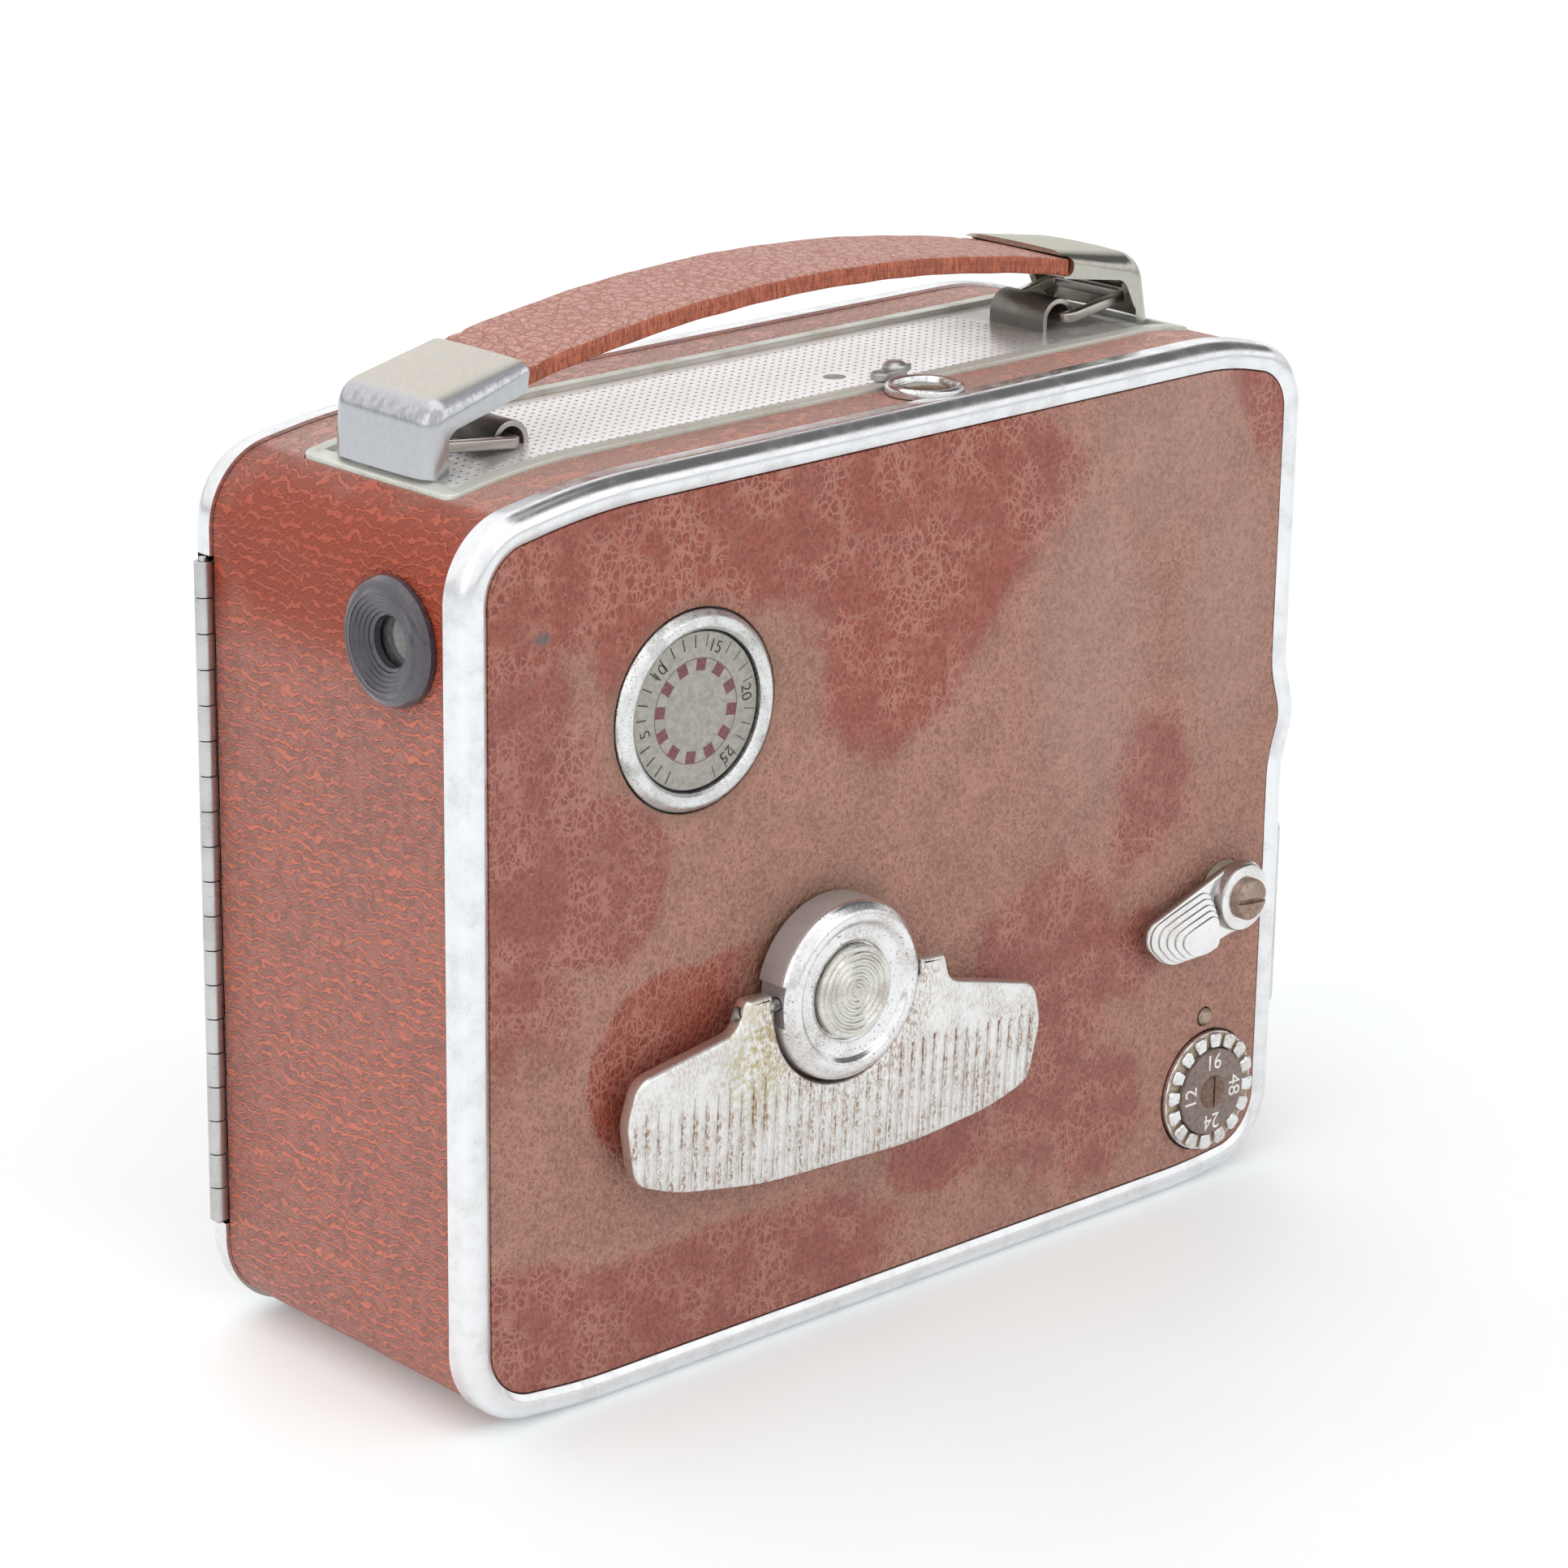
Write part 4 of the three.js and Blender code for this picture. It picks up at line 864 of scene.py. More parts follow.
def build_faces():
    holes = [circle(FOOTAGE.x, FOOTAGE.z, 12.85, 64), circle(KEY.x, KEY.z, 4),
             circle(LEVER.x, LEVER.z, 2.2, 24),
             circle(SPEED.x, SPEED.z, 8.75, 64), circle(*RIVET, 1.4, 24)]
    face = plate("leather_key_side", inset(TRIM_WIDTH + GAP), -FACE, -FACE + LEATHER, holes=holes, bevel=0.12)
    stands_for(face, "key_side_covering", "worn_leather")
    bores = [circle(spot.x, spot.z, radius, 24)
             for spot, radius in ((FOOTAGE, 3), (KEY, 4), (LEVER, 2.2), (SPEED, 2.4))]
    panel = plate("panel_key_side", inset(SHELL_DEPTH), -FACE + LEATHER + 0.1, -24.6, holes=bores)
    rivet = turned("rivet", [(0, -27), (0.75, -26.92, 0.5), (1.2, -26.35, 0.3), (1.2, -25), (0, -25)], "Y",
                   RIVET, 32)
    stands_for(joined("panel_and_rivet", coat(panel, "black"), coat(rivet, "rusty")), "key_side_panel")
    latch_hole = circle(LATCH.x, LATCH.z, 2.4, 24)
    cover = plate("leather_door", inset(TRIM_WIDTH + GAP), FACE - LEATHER, FACE, holes=[latch_hole],
                  bevel=0.12)
    stands_for(cover, "door_covering", "door_leather")
    pan = plate("door_pan", inset(SHELL_DEPTH), 24.6, 25.65, holes=[latch_hole])
    rim = around("door_rim", [(2.8, 19), (3.7, 19), (3.7, 24.7), (2.8, 24.7)])
    stands_for(joined("door_panel_inner", pan, rim), "door_panel", "crackle")


def build_latch():
    centre = (LATCH.x, LATCH.z)
    inner = span("door_latch")[0].y
    knob = turned("knob",
                  [(0, inner), (5, inner, 0.2), (5, 22.6, 0.2), (1.9, 22.6), (1.9, 26.5), (6.5, 26.5, 0.2),
                           (6.5, 27.7, 0.5), (5.6, 28.2, 0.4), (0, 28.2)], "Y", centre)
    grip = plate("grip", rounded_box(LATCH.x - 5.4, LATCH.x + 5.4, LATCH.z - 1.1, LATCH.z + 1.1, 1.0), 28,
                 30.4,
                 bevel=0.4)
    stands_for(joined("latch_knob", coat(knob, "trim"), coat(grip, "hub")), "door_latch")
    ring = turned("latch_ring",
                  [(6.9, 26.2), (8.6, 26.2), (8.6, 26.6, 0.15), (8.2, 26.75, 0.2), (6.9, 26.75, 0.15)],
                  "Y", centre)
    goes_with(ring, "door_covering", "bezel")


def build_hinge():
    """Nineteen knuckles, alternately on the body and on the door."""
    low, high = span("hinge_body_leaf")
    count = 19
    pitch = (high.z - low.z) / count
    leaves = {"body": [], "door": []}
    for i in range(count):
        z0, z1 = low.z + i * pitch + 0.06, low.z + (i + 1) * pitch - 0.06
        side, y0, y1 = ("door", HINGE[1], 24.75) if i % 2 else ("body", 22.74, HINGE[1])
        leaves[side].append(turned("knuckle", [(0.62, z0), (1.15, z0, 0.12), (1.15, z1, 0.12), (0.62, z1)],
                                   "Z",
                                   HINGE, 28))
        leaves[side].append(block("web", -70.35, -69.4, y0, y1, z0, z1))
    leaves["body"].append(block("strip", -69.55, -69.4, 19.8, 22.8, low.z, high.z))
    # A wedge closes the gap behind the knuckles.
    filler = [(-69.95, 22.74), (-69.4, 22.74), (-69.4, 23.4), (-69.58, 23.4)]
    leaves["body"].append(plate("filler", filler, low.z, high.z, "Z"))
    leaves["door"].append(block("strip", -69.9, -69.4, 24.5, 25.4, low.z, high.z, bevel=0.1))
    for side, pieces in leaves.items():
        stands_for(joined(f"hinge_{side}_knuckles", *pieces), f"hinge_{side}_leaf", "steel")
    low, high = span("hinge_pin")
    pin = turned("hinge_wire", [(0, low.z), (0.5, low.z, 0.2), (0.5, high.z, 0.2), (0, high.z)], "Z", HINGE,
                 20)
    stands_for(pin, "hinge_pin", "steel")


def screw(spot, axis, radius, height, turn=0.5, sign=1):
    """A slotted pan-head screw standing from a point along an axis; sign is -1 when it points down the axis."""
    along = "XYZ".index(axis)
    rest = [spot[i] for i in range(3) if i != along]
    top = spot[along] + sign * height
    head = turned("screw",
                  [(0, spot[along]), (radius, spot[along]),
                   (radius, top - sign * radius * 0.12, radius * 0.22),
                            (radius * 0.6, top), (0, top)], axis, rest, 32)
    floor = top - sign * height * 0.45
    cutter = plate("slot", rounded_box(-radius * 1.4, radius * 1.4, -radius * 0.13, radius * 0.13, 0.02),
                   min(top, floor), max(top, floor) + 0.3, axis)
    if sign < 0:
        moved(cutter, [-0.3 if i == along else 0 for i in range(3)])
    moved(cutter, [0 if i == along else spot[i] for i in range(3)])
    turn_about(cutter, axis, spot, turn)
    return coat(carve(head, cutter), "steel")


def build_front_and_base():
    low, high = span("front_plate")
    sheet = plate("front_sheet", rounded_box(low.y, high.y, low.z, high.z, 2), low.x, high.x, "X", bevel=0.15)
    screws = [screw((high.x - 0.1, y, z), "X", 1.5, 0.7)
              for y in (low.y + 3, high.y - 3) for z in (low.z + 3, high.z - 3)]
    stands_for(joined("front_sheet_and_screws", coat(sheet, "sheet"), *screws), "front_plate")
    low, high = span("base_plate")
    base = plate("base_sheet", sheet_line("base_plate", 4), low.z, high.z, "Z",
                 holes=[circle(BUSH.x, BUSH.y, 4.5, 48)], bevel=0.15)
    stands_for(base, "base_plate", "sheet")
    thread = turned("tripod_thread",
                    [(2.9, 0.1, 0.2), (4.2, 0.1, 0.2), (4.2, 2.6), (7, 2.6), (7, 4.2), (4.2, 4.2),
                                      (4.2, 9), (1.2, 9), (1.2, 8), (2.9, 8)], "Z", (BUSH.x, BUSH.y), 48)
    stands_for(thread, "tripod_bush", "brass")


# ---------------------------------------------------------------- the top
def build_frame():
    """Flat pale frame with rounded edges that follows the curve of the top."""
    low, high = span("top_frame")
    width, radius, step = 2.15, 1.6, 2.0
    loop = []
    corners = [(high.x, high.y, 0), (low.x, high.y, 90), (low.x, low.y, 180), (high.x, low.y, 270)]
    for k, (x, y, start) in enumerate(corners):
        cx, cy = x - math.copysign(radius, x), y - math.copysign(radius, y)
        loop += [(px, py, math.cos(math.radians(start + 9 * i)), math.sin(math.radians(start + 9 * i)))
                 for i, (px, py) in enumerate(arc(cx, cy, radius, start, start + 90, 10))]
        nx, ny, _ = corners[(k + 1) % 4]
        ax, ay = loop[-1][:2]
        bx, by = (nx - math.copysign(radius, nx), y) if k % 2 == 0 else (x, ny - math.copysign(radius, ny))
        pieces = max(1, int(math.hypot(bx - ax, by - ay) / step))
        heading = math.radians(start + 90)
        loop += [(ax + (bx - ax) * i / pieces, ay + (by - ay) * i / pieces, math.cos(heading),
                  math.sin(heading))
                 for i in range(1, pieces)]
    profile = rounded([(0, -1.1), (0, 0.02, 0.15), (width, 0.06, 0.15), (width, -1.1)], fine=0.08)
    points = []
    for x, y, nx, ny in loop:
        for depth, rise in profile:
            px = x - nx * depth
            points.append((px, y - ny * depth, top_at(px) + rise))
    ring = make("frame_strip", points, skin(len(loop), len(profile), closed=True))
    stands_for(carve(ring, window_seat()), "top_frame", "frame")


def build_perforated_plate():
    """A thin plate with a square grid of small blind holes; two lattice steps make one hole's cell."""
    low, high = span("top_plate")
    columns, rows = 176, 36
    dx, dy = (high.x - low.x) / columns, (high.y - low.y) / rows
    sink, thick, hole_depth, hole_radius = 0.65, 0.5, 0.3, 0.24
    points, faces, dark = [], [], []

    def spot(x, y, drop):
        points.append((x, y, top_at(x) - sink - drop))
        return len(points) - 1

    lattice = [[spot(low.x + i * dx, low.y + j * dy, 0) for j in range(rows + 1)] for i in range(columns + 1)]
    reach = 3  # half size of the larger hole's block, in lattice steps
    sight_i, sight_j = round((7.0 - low.x) / dx), round((-4.8 - low.y) / dy)

    def blind_hole(i0, i1, j0, j1, radius):
        border = [lattice[i][j0] for i in range(i0, i1)] + [lattice[i1][j] for j in range(j0, j1)]
        border += [lattice[i][j1] for i in range(i1, i0, -1)] + [lattice[i0][j] for j in range(j1, j0, -1)]
        cx, cy = low.x + (i0 + i1) / 2 * dx, low.y + (j0 + j1) / 2 * dy
        edge, bottom = [], []
        for index in border:
            x, y, _ = points[index]
            away = Vector((x - cx, y - cy)).normalized() * radius
            edge.append(spot(cx + away.x, cy + away.y, 0))
            bottom.append(spot(cx + away.x, cy + away.y, hole_depth))
        for k in range(len(border)):
            m = (k + 1) % len(border)
            faces.append([border[k], border[m], edge[m], edge[k]])
            faces.append([edge[k], edge[m], bottom[m], bottom[k]])
            dark.append(len(faces) - 1)
        faces.append(bottom)
        dark.append(len(faces) - 1)

    for i in range(0, columns, 2):
        for j in range(0, rows, 2):
            if abs(i + 1 - sight_i) <= reach and abs(j + 1 - sight_j) <= reach:
                continue
            edge_cell = i == 0 or j == 0 or i >= columns - 2 or j >= rows - 2
            if low.x + (i + 1) * dx < 43.5 and not edge_cell:  # no holes beyond the front hook
                blind_hole(i, i + 2, j, j + 2, hole_radius)
            else:
                for a, b in ((i, j), (i + 1, j), (i, j + 1), (i + 1, j + 1)):
                    faces.append([lattice[a][b], lattice[a + 1][b], lattice[a + 1][b + 1], lattice[a][b + 1]])
    i_cells = [i for i in range(0, columns, 2) if abs(i + 1 - sight_i) <= reach]
    j_cells = [j for j in range(0, rows, 2) if abs(j + 1 - sight_j) <= reach]
    blind_hole(i_cells[0], i_cells[-1] + 2, j_cells[0], j_cells[-1] + 2, 1.5)

    under = [[spot(low.x + i * dx, y, thick) for i in range(columns + 1)] for y in (low.y, high.y)]
    for i in range(columns):
        faces.append([lattice[i][0], lattice[i + 1][0], under[0][i + 1], under[0][i]])
        faces.append([lattice[i][rows], lattice[i + 1][rows], under[1][i + 1], under[1][i]])
        faces.append([under[0][i], under[0][i + 1], under[1][i + 1], under[1][i]])
    for i in (0, columns):
        faces.append([*lattice[i], under[1][i], under[0][i]])
    # The second material on the holes' walls and floors is painted shade.
    sheet = make("plate_perforated", points, faces, 30, second=dark)
    stands_for(sheet, "top_plate", "perforated", "hole")


def build_hooks():
    """Curled strips that hold the handle's wire links, with a bright cut edge."""
    for name, side, (x, z, radius, root) in (
            ("hook_front", 1, (47.6, 119.6, 2.9, 118)), ("hook_rear", -1, (-45.8, 117, 2.75, 116.3))):
        inner = radius - 0.8
        curl = arc(0, 0, radius, 180, 2, 28) + arc(0, 0, inner, 2, 180, 24)
        line = curl + [(-inner, root - z), (-radius, root - z)]
        low, high = span(name)
        strip = plate(f"{name}_strip", [(x + side * a, z + b) for a, b in line], low.y, high.y, bevel=0.12)
        stands_for(use_second(coat(strip, "gunmetal", "nickel"), lambda along: along > 0.9), name)


def build_window():
    seat = top_at(WINDOW.x) - 0.4
    for name, profile, material in (
            ("rim", [(3.9, 0), (5.07, 0), (5.07, 0.9, 0.35), (4.6, 1.25, 0.35), (4.05, 1.05, 0.2)], "hub"),
            ("lens", [(0, 0.1), (3.85, 0.1), (3.85, 0.45), (2.4, 0.75, 2), (0, 0.85)], "olive"),
            ("floor", [(0, -0.3), (3.85, -0.3), (3.85, 0.02), (0, 0.02)], "olive_floor")):
        raised = [(radius, seat + rise, *fillet) for radius, rise, *fillet in profile]
        piece = turned(f"window_{name}", raised, "Z", (WINDOW.x, WINDOW.y))
        if name == "floor":
            goes_with(piece, "top_window_glass", material)
        else:
            stands_for(piece, "top_window_ring" if name == "rim" else "top_window_glass", material)


def build_catch():
    """Two lumpy lobes on a thin tail."""
    low, high = span("top_catch")
    x, y = low.x + 1.2, low.y + 1.2
    z = low.z
    small = turned("small_lobe",
                   [(0, z), (1.2, z), (1.2, z + 0.95, 0.45), (0.5, z + 1.1, 0.3), (0, z + 1.05)], "Z", (x, y),
                   32)
    big = turned("big_lobe", [(0, z), (1.6, z), (1.6, z + 1.2, 0.5), (1.0, z + 1.7, 0.5), (0, z + 1.8)], "Z",
                 (x + 3.7, y + 1.2), 40)
    tail = plate("tail",
                 rounded([(x, y - 0.9), (x + 3.5, y - 0.4, 1), (x + 6.9, y + 1.4, 0.2),
                          (x + 6.9, y + 1.9, 0.2),
                               (x + 3.5, y + 2.6, 1), (x, y + 0.9)]), z, z + 0.9, "Z", bevel=0.2)
    stands_for(joined("catch_lobes", small, big, tail), "top_catch", "lead")


# ---------------------------------------------------------------- the handle
def strap_top(x):
    return span("handle_strap")[1].z - (x - STRAP["crest_x"]) ** 2 / (2 * STRAP["radius"])


def build_strap():
    """Leather strap: softly crowned top, raw sides grooved between its two layers, creased at the caps."""
    half, thick = span("handle_strap")[1].y, STRAP["thick"]
    rear, front = -46.7, 45.4  # where it leaves the caps
    section = rounded([(-half, -thick, 0.35), (half, -thick, 0.35), (half, -thick * 0.56, 0.1),
                       (half - 0.22, -thick * 0.5, 0.1), (half, -thick * 0.44, 0.1), (half, 0, 0.5),
                       (-half, 0, 0.5), (-half, -thick * 0.44, 0.1), (-half + 0.22, -thick * 0.5, 0.1),
                       (-half, -thick * 0.56, 0.1)], fine=0.12)
    dense = []
    for (a0, b0), (a1, b1) in zip(section, section[1:] + section[:1]):
        pieces = max(1, int(abs(a1 - a0) / 0.9))
        dense += [(a0 + (a1 - a0) * k / pieces, b0 + (b1 - b0) * k / pieces) for k in range(pieces)]
    random.seed(7)
    phase = [random.uniform(0, 6.28) for _ in range(4)]
    stations = [-53.4 + (50.4 + 53.4) * i / 170 for i in range(171)]
    points = []
    for x in stations:
        inside = x < rear or x > front
        shrink = 0.93 if inside else 1.0
        crease = 0.22 * sum(math.exp(-((x - c) / 0.55) ** 2) for c in (rear + 1.6, front - 3.4, rear + 4.2))
        for a, b in dense:
            crown = 0.0 if inside else 0.16 * (1 - (a / half) ** 2) - 0.16
            sway = 0.05 * math.sin(x * 0.31 + phase[0]) + 0.04 * math.sin(x * 0.83 + a * 0.3 + phase[1])
            upper = 1 if b > -thick / 2 else 0
            dz = (-0.12 if inside else 0) * (2 * upper - 1) + upper * (crown - crease)
            dz += 0 if inside else sway * 0.6
            wave = 0 if inside else 0.07 * math.sin(x * 0.57 + phase[2]) * (1 if a > 0 else -1)
            points.append((x, a * shrink + wave, strap_top(x) + b + dz - 0.1))
    size = len(dense)
    ends = [list(range(size)), list(range(len(points) - size, len(points)))]
    strap = make("strap_leather", points, skin(len(stations), size) + ends, 50)
    coat(strap, "strap_leather", "strap_edge")
    stands_for(use_second(strap, lambda along: along > 0.6), "handle_strap")


def nearest_on(spot, line, normals):
    """Distance from a point to a line, and the line's normal there."""
    best = (1e9, None)
    spot = Vector(spot)
    for a, b, n, m in zip(line, line[1:], normals, normals[1:]):
        a, b = Vector(a), Vector(b)
        t = max(0.0, min(1.0, (spot - a).dot(b - a) / (b - a).length_squared))
        best = min(best, ((spot - a.lerp(b, t)).length, n.lerp(m, t)), key=lambda pair: pair[0])
    return best


def cap(name, node, finish, outer, inner, hollow, *sleeves):
    """A bent metal cap whose outer line is rounded over towards both sides.
    Where the wall is thin, the inner line follows the outer one."""
    half, soft = span(node)[1].y, 2.5
    line = rounded(outer + inner, fine=0.3)
    upper = rounded(outer, closed=False, fine=0.3)
    normals = loop_normals(line, 1)[:len(upper)]
    normals[0], normals[-1] = normals[1], normals[-2]

    def room(spot):
        """Less rounding over the strap."""
        return min(1.0, 0.5 + math.dist(spot, upper[-1]) / 16)

    shifts = [normal * room(spot) for spot, normal in zip(upper, normals)]
    for spot in line[len(upper):]:
        wall, lean = nearest_on(spot, upper, normals)
        shifts.append(lean * room(spot) * max(0.0, 1 - max(0.0, wall - 0.8) / 2.6))
    bends = [math.pi / 16 * k for k in range(9)]
    sections = [(-half + soft * (1 - math.cos(t)), soft * (1 - math.sin(t))) for t in bends]
    sections += [(-half * k / 10, 0.0) for k in range(7, 0, -1)] + [(0.0, 0.0)]
    sections += [(-y, depth) for y, depth in reversed(sections[:-1])]
    sections = [(y, depth + 0.35 * (y / half) ** 2) for y, depth in sections]  # slightly crowned across
    points = []
    for y, depth in sections:
        points += [(a - n.x * depth, y, b - n.y * depth) for (a, b), n in zip(line, shifts)]
    size = len(line)
    faces = skin(len(sections), size)
    for base in (0, len(points) - size):
        faces += filled([range(base, base + size)], points)
    body = make(name, points, faces, 40)
    for reach, line in ((8.4, rounded(hollow)), *sleeves):
        carve(body, plate("cutter", line, -reach, reach), smooth=40)
    stands_for(body, node, finish)


def strap_line(x0, x1, grow, steps=8, tip=0.0):
    """Side outline of a length of the strap, a little larger all round; tip rounds its front end."""
    xs = [x0 + (x1 - x0) * i / steps for i in range(steps + 1)]
    upper = [(x, strap_top(x) + grow) for x in xs]
    lower = [(x, strap_top(x) - STRAP["thick"] - grow) for x in xs]
    line = upper[:-1] + [(*upper[-1], tip), (*lower[-1], tip)] + lower[-2::-1]
    return rounded(line, fine=0.2)


def build_caps():
    cap("cap_front", "handle_cap_front", "cap_khaki",
        [(61.5, 118.9), (59.7, 127.9, 5), (43.8, 129.95)],
        [(43.8, 126.3, 0.3), (55.4, 124.7, 2.5), (57.5, 120.6, 2), (60.7, 118.9)],
        [(50.8, 123), (55.4, 123), (55.4, 117), (60.5, 117), (58.8, 127.1, 4.2), (50.8, 128.1)],
        (10, strap_line(42.5, 45.6, 0.09, steps=1, tip=1.15)), (8.75, strap_line(43, 50.9, 0.05)))
    cap("cap_rear", "handle_cap_rear", "cap",
        [(-62.4, 115.6), (-61.9, 124.6, 4), (-46.9, 127.9)],
        [(-46.9, 124.1, 0.3), (-58.3, 121, 2.5), (-59.7, 117.8, 2), (-61.6, 115.6)],
        [(-53.8, 121), (-58, 121), (-58, 114), (-61.5, 114), (-61, 123.8, 3.2), (-53.8, 125.6)],
        (8.75, strap_line(-53.9, -46, 0.05)))


def build_links():
    """Flat wire loops between the hooks and the caps."""
    wire, half_width = 1.3, 7.2
    half = wire / 2
    for node, side, (x, z, length, tilt) in (
            ("ring_front", 1, (47.9, 120.1, 10.9, 9.4)), ("ring_rear", -1, (-46.1, 117.4, 13.6, 5.5))):
        line = rounded_box(-half, length + half, -half_width, half_width, 1.7)
        hole = rounded_box(half, length - half, -half_width + wire, half_width - wire, 0.5)
        link_wire = plate(f"{node}_wire", line, -0.7, 0.7, "Z", holes=[hole], bevel=0.28)
        moved(link_wire, (x, 0, z), (-side * math.radians(tilt), "Y"), (0 if side > 0 else math.pi, "Z"))
        stands_for(link_wire, node, "nickel")


# ---------------------------------------------------------------- the finder and the dials
def build_finder():
    centre = (FINDER.y, FINDER.z)
    edge = span("eyepiece_cup")[0].x
    steps = []
    for k in range(5):  # concentric steps down to the pupil
        radius, level = 6.1 - 0.55 * k, edge + 0.15 + 0.28 * k
        steps += [(radius, level, 0.1), (radius - 0.26, level - 0.06, 0.08),
                  (radius - 0.34, level + 0.24, 0.05)]
    cup = [(3.1, -69.6), (3.1, edge + 1.7, 0.2)] + steps[::-1] + [
        (6.5, edge + 0.5, 0.12), (6.75, edge + 0.35, 0.15), (7.45, edge + 0.65, 0.35),
        (7.95, edge + 1.5, 0.4),
        (8, -70, 0.1), (5.9, -70), (5.9, -66.6), (5.2, -66.6), (5.2, -69.6)]
    stands_for(turned("eyepiece", cup, "X", centre, 96), "eyepiece_cup", "bakelite")
    lens = turned("eyepiece_glass", [(0, -69.4), (3, -69.1, 2), (5, -68.6), (5, -68), (0, -67.4)], "X",
                  centre)
    stands_for(lens, "eyepiece_lens", "eye_glass")
    stop = turned("eyepiece_stop", [(1.4, -66.9), (5.1, -66.9), (5.1, -67.2), (1.4, -67.2, 0.1)], "X", centre)
    goes_with(stop, "finder_tube", "dial_grey")
    tube = turned("finder_barrel", [(5.3, -66.3), (6, -66.3), (6, 69.9), (5.3, 69.9)], "X", centre)
    stands_for(tube, "finder_tube", "black")
    back = span("finder_front_lens")[0].x
    glass = turned("finder_glass", [(0, back), (5.7, back), (5.7, 71.6, 0.2), (3.5, 72.2, 4), (0, 72.4)], "X",
                   centre)
    stands_for(glass, "finder_front_lens", "glass")
    rim = turned("finder_rim",
                 [(5.9, 72.0), (8.2, 72.0), (8.2, 73.1, 0.25), (7.4, 73.5, 0.3), (5.9, 73.1, 0.2)], "X",
                 centre)
    goes_with(rim, "finder_front_lens", "bezel")


def figure(text, size, material, centre=None, reach=0.0, angle=90.0, y=0.0):
    """A numeral standing on the winding side, at a reach and an angle in degrees round a dial's centre."""
    curve = bpy.data.curves.new("figure", "FONT")
    curve.body, curve.size, curve.extrude = text, size * MM, 0.02 * MM
    curve.align_x, curve.align_y = "CENTER", "CENTER"
    flat = link("figure", curve)
    made = link("figure", made_of(flat))
    bpy.data.objects.remove(flat)
    turn = math.radians(angle)
    place = (centre.x + reach * math.cos(turn), y, centre.z + reach * math.sin(turn)) if centre else (0, 0, 0)
    return coat(moved(made, place, (math.pi / 2 - turn, "Y"), (math.pi / 2, "X")), material)


def mark(centre, angle, r0, r1, width, y, material):
    """A short radial bar on a dial; the angle is anticlockwise from +X, seen from the winding side."""
    bar = plate("mark", box_line(r0, r1, -width / 2, width / 2), y - 0.02, y + 0.02)
    return coat(moved(bar, (centre.x, 0, centre.z), (-math.radians(angle), "Y")), material)


def build_footage_dial():
    centre = (FOOTAGE.x, FOOTAGE.z)
    bezel = turned("dial_rim", [(10.15, -25.8), (10.15, -26.75, 0.1), (10.6, -27.2, 0.5), (11.7, -27.3, 0.9),
                                (12.6, -26.3, 0.5), (12.6, -25.8)], "Y", centre, 96)
    stands_for(bezel, "dial_bezel", "bezel")
    face_y = span("footage_dial")[0].y
    disc = turned("footage_disc",
                  [(0, face_y), (9.8, face_y, 0.05), (9.8, -25.8), (2.5, -25.8), (2.5, -20), (0, -20)],
                  "Y", centre, 96)
    parts = [coat(disc, "dial_grey")]
    figures = {5: 190, 10: 135, 15: 68, 20: 6, 25: -52}
    for count in range(1, 27):
        angle = 252 - 12.4 * count  # puts the mark of 5 at 190 degrees
        if any(abs((angle - a + 180) % 360 - 180) < 5 for a in figures.values()):
            continue
        reach = 7.3 if count % 5 == 0 else 7.9
        parts.append(mark(FOOTAGE, angle, reach, 9.5, 0.18 if angle > 90 else 0.11, face_y, "ink_black"))
    for number, angle in figures.items():
        parts.append(figure(str(number), 2.2, "ink_black", FOOTAGE, 8.1, angle, face_y))
    for k in range(12):
        parts.append(mark(FOOTAGE, 112 + 30 * k, 5.0, 6.45, 1.5, face_y, "ink_maroon"))
    for radius, material in ((4.85, "tan"), (6.5, "ink_maroon")):
        line = turned("line",
                      [(radius, face_y + 0.05), (radius, face_y - 0.02), (radius + 0.09, face_y - 0.02),
                               (radius + 0.09, face_y + 0.05)], "Y", centre, 96)
        parts.append(coat(line, material))
    stands_for(joined("footage_face", *parts), "footage_dial")


def build_speed_dial():
    centre = (SPEED.x, SPEED.z)
    y0, y1 = -27.0, -25.85
    ring = turned("ring", [(6.2, y1), (6.2, y0, 0.1), (8.2, y0, 0.3), (8.5, y0 + 0.5, 0.2), (8.5, y1)], "Y",
                  centre)
    parts = [coat(ring, "tan")]
    tooth_line = rounded([(6.2, -0.82, 0.4), (8.45, -1.25, 0.7), (8.45, 1.25, 0.7), (6.2, 0.82, 0.4)],
                         fine=0.12)
    for k in range(16):
        tooth = plate("tooth", tooth_line, -27.65, y0 + 0.1, bevel=0.4)
        parts.append(coat(moved(tooth, (SPEED.x, 0, SPEED.z), (math.radians(22.5 * k + 5), "Y")), "hub"))
    skirt = turned("skirt", [(8.2, y1), (8.2, y0 + 0.1), (8.5, y0 + 0.15, 0.1), (8.52, y1)], "Y", centre)
    parts.append(coat(skirt, "hub"))
    stands_for(joined("speed_ring", *parts), "speed_dial_ring")
    face_y = -27.8
    face = turned("speed_disc",
                  [(0, face_y), (6.1, face_y, 0.12), (6.1, -25.9), (1.9, -25.9), (1.9, -20), (0, -20)],
                  "Y", centre)
    head = turned("speed_screw",
                  [(0, face_y + 0.1), (2.35, face_y + 0.1), (2.35, -28.0, 0.2), (1.6, -28.1), (0, -28.1)],
                  "Y", centre, 48)
    slot = block("slot", SPEED.x - 0.2, SPEED.x + 0.2, -28.6, -27.85, SPEED.z - 2.6, SPEED.z + 2.6)
    parts = [coat(face, "dial_brown"), coat(carve(head, slot), "screw_brown")]
    for text, angle in (("16", 90), ("48", 0), ("24", -90), ("12", 180)):
        parts.append(figure(text, 3.2, "ink_white", SPEED, 4.25, angle, face_y))
    stands_for(joined("speed_face", *parts), "speed_dial_face")


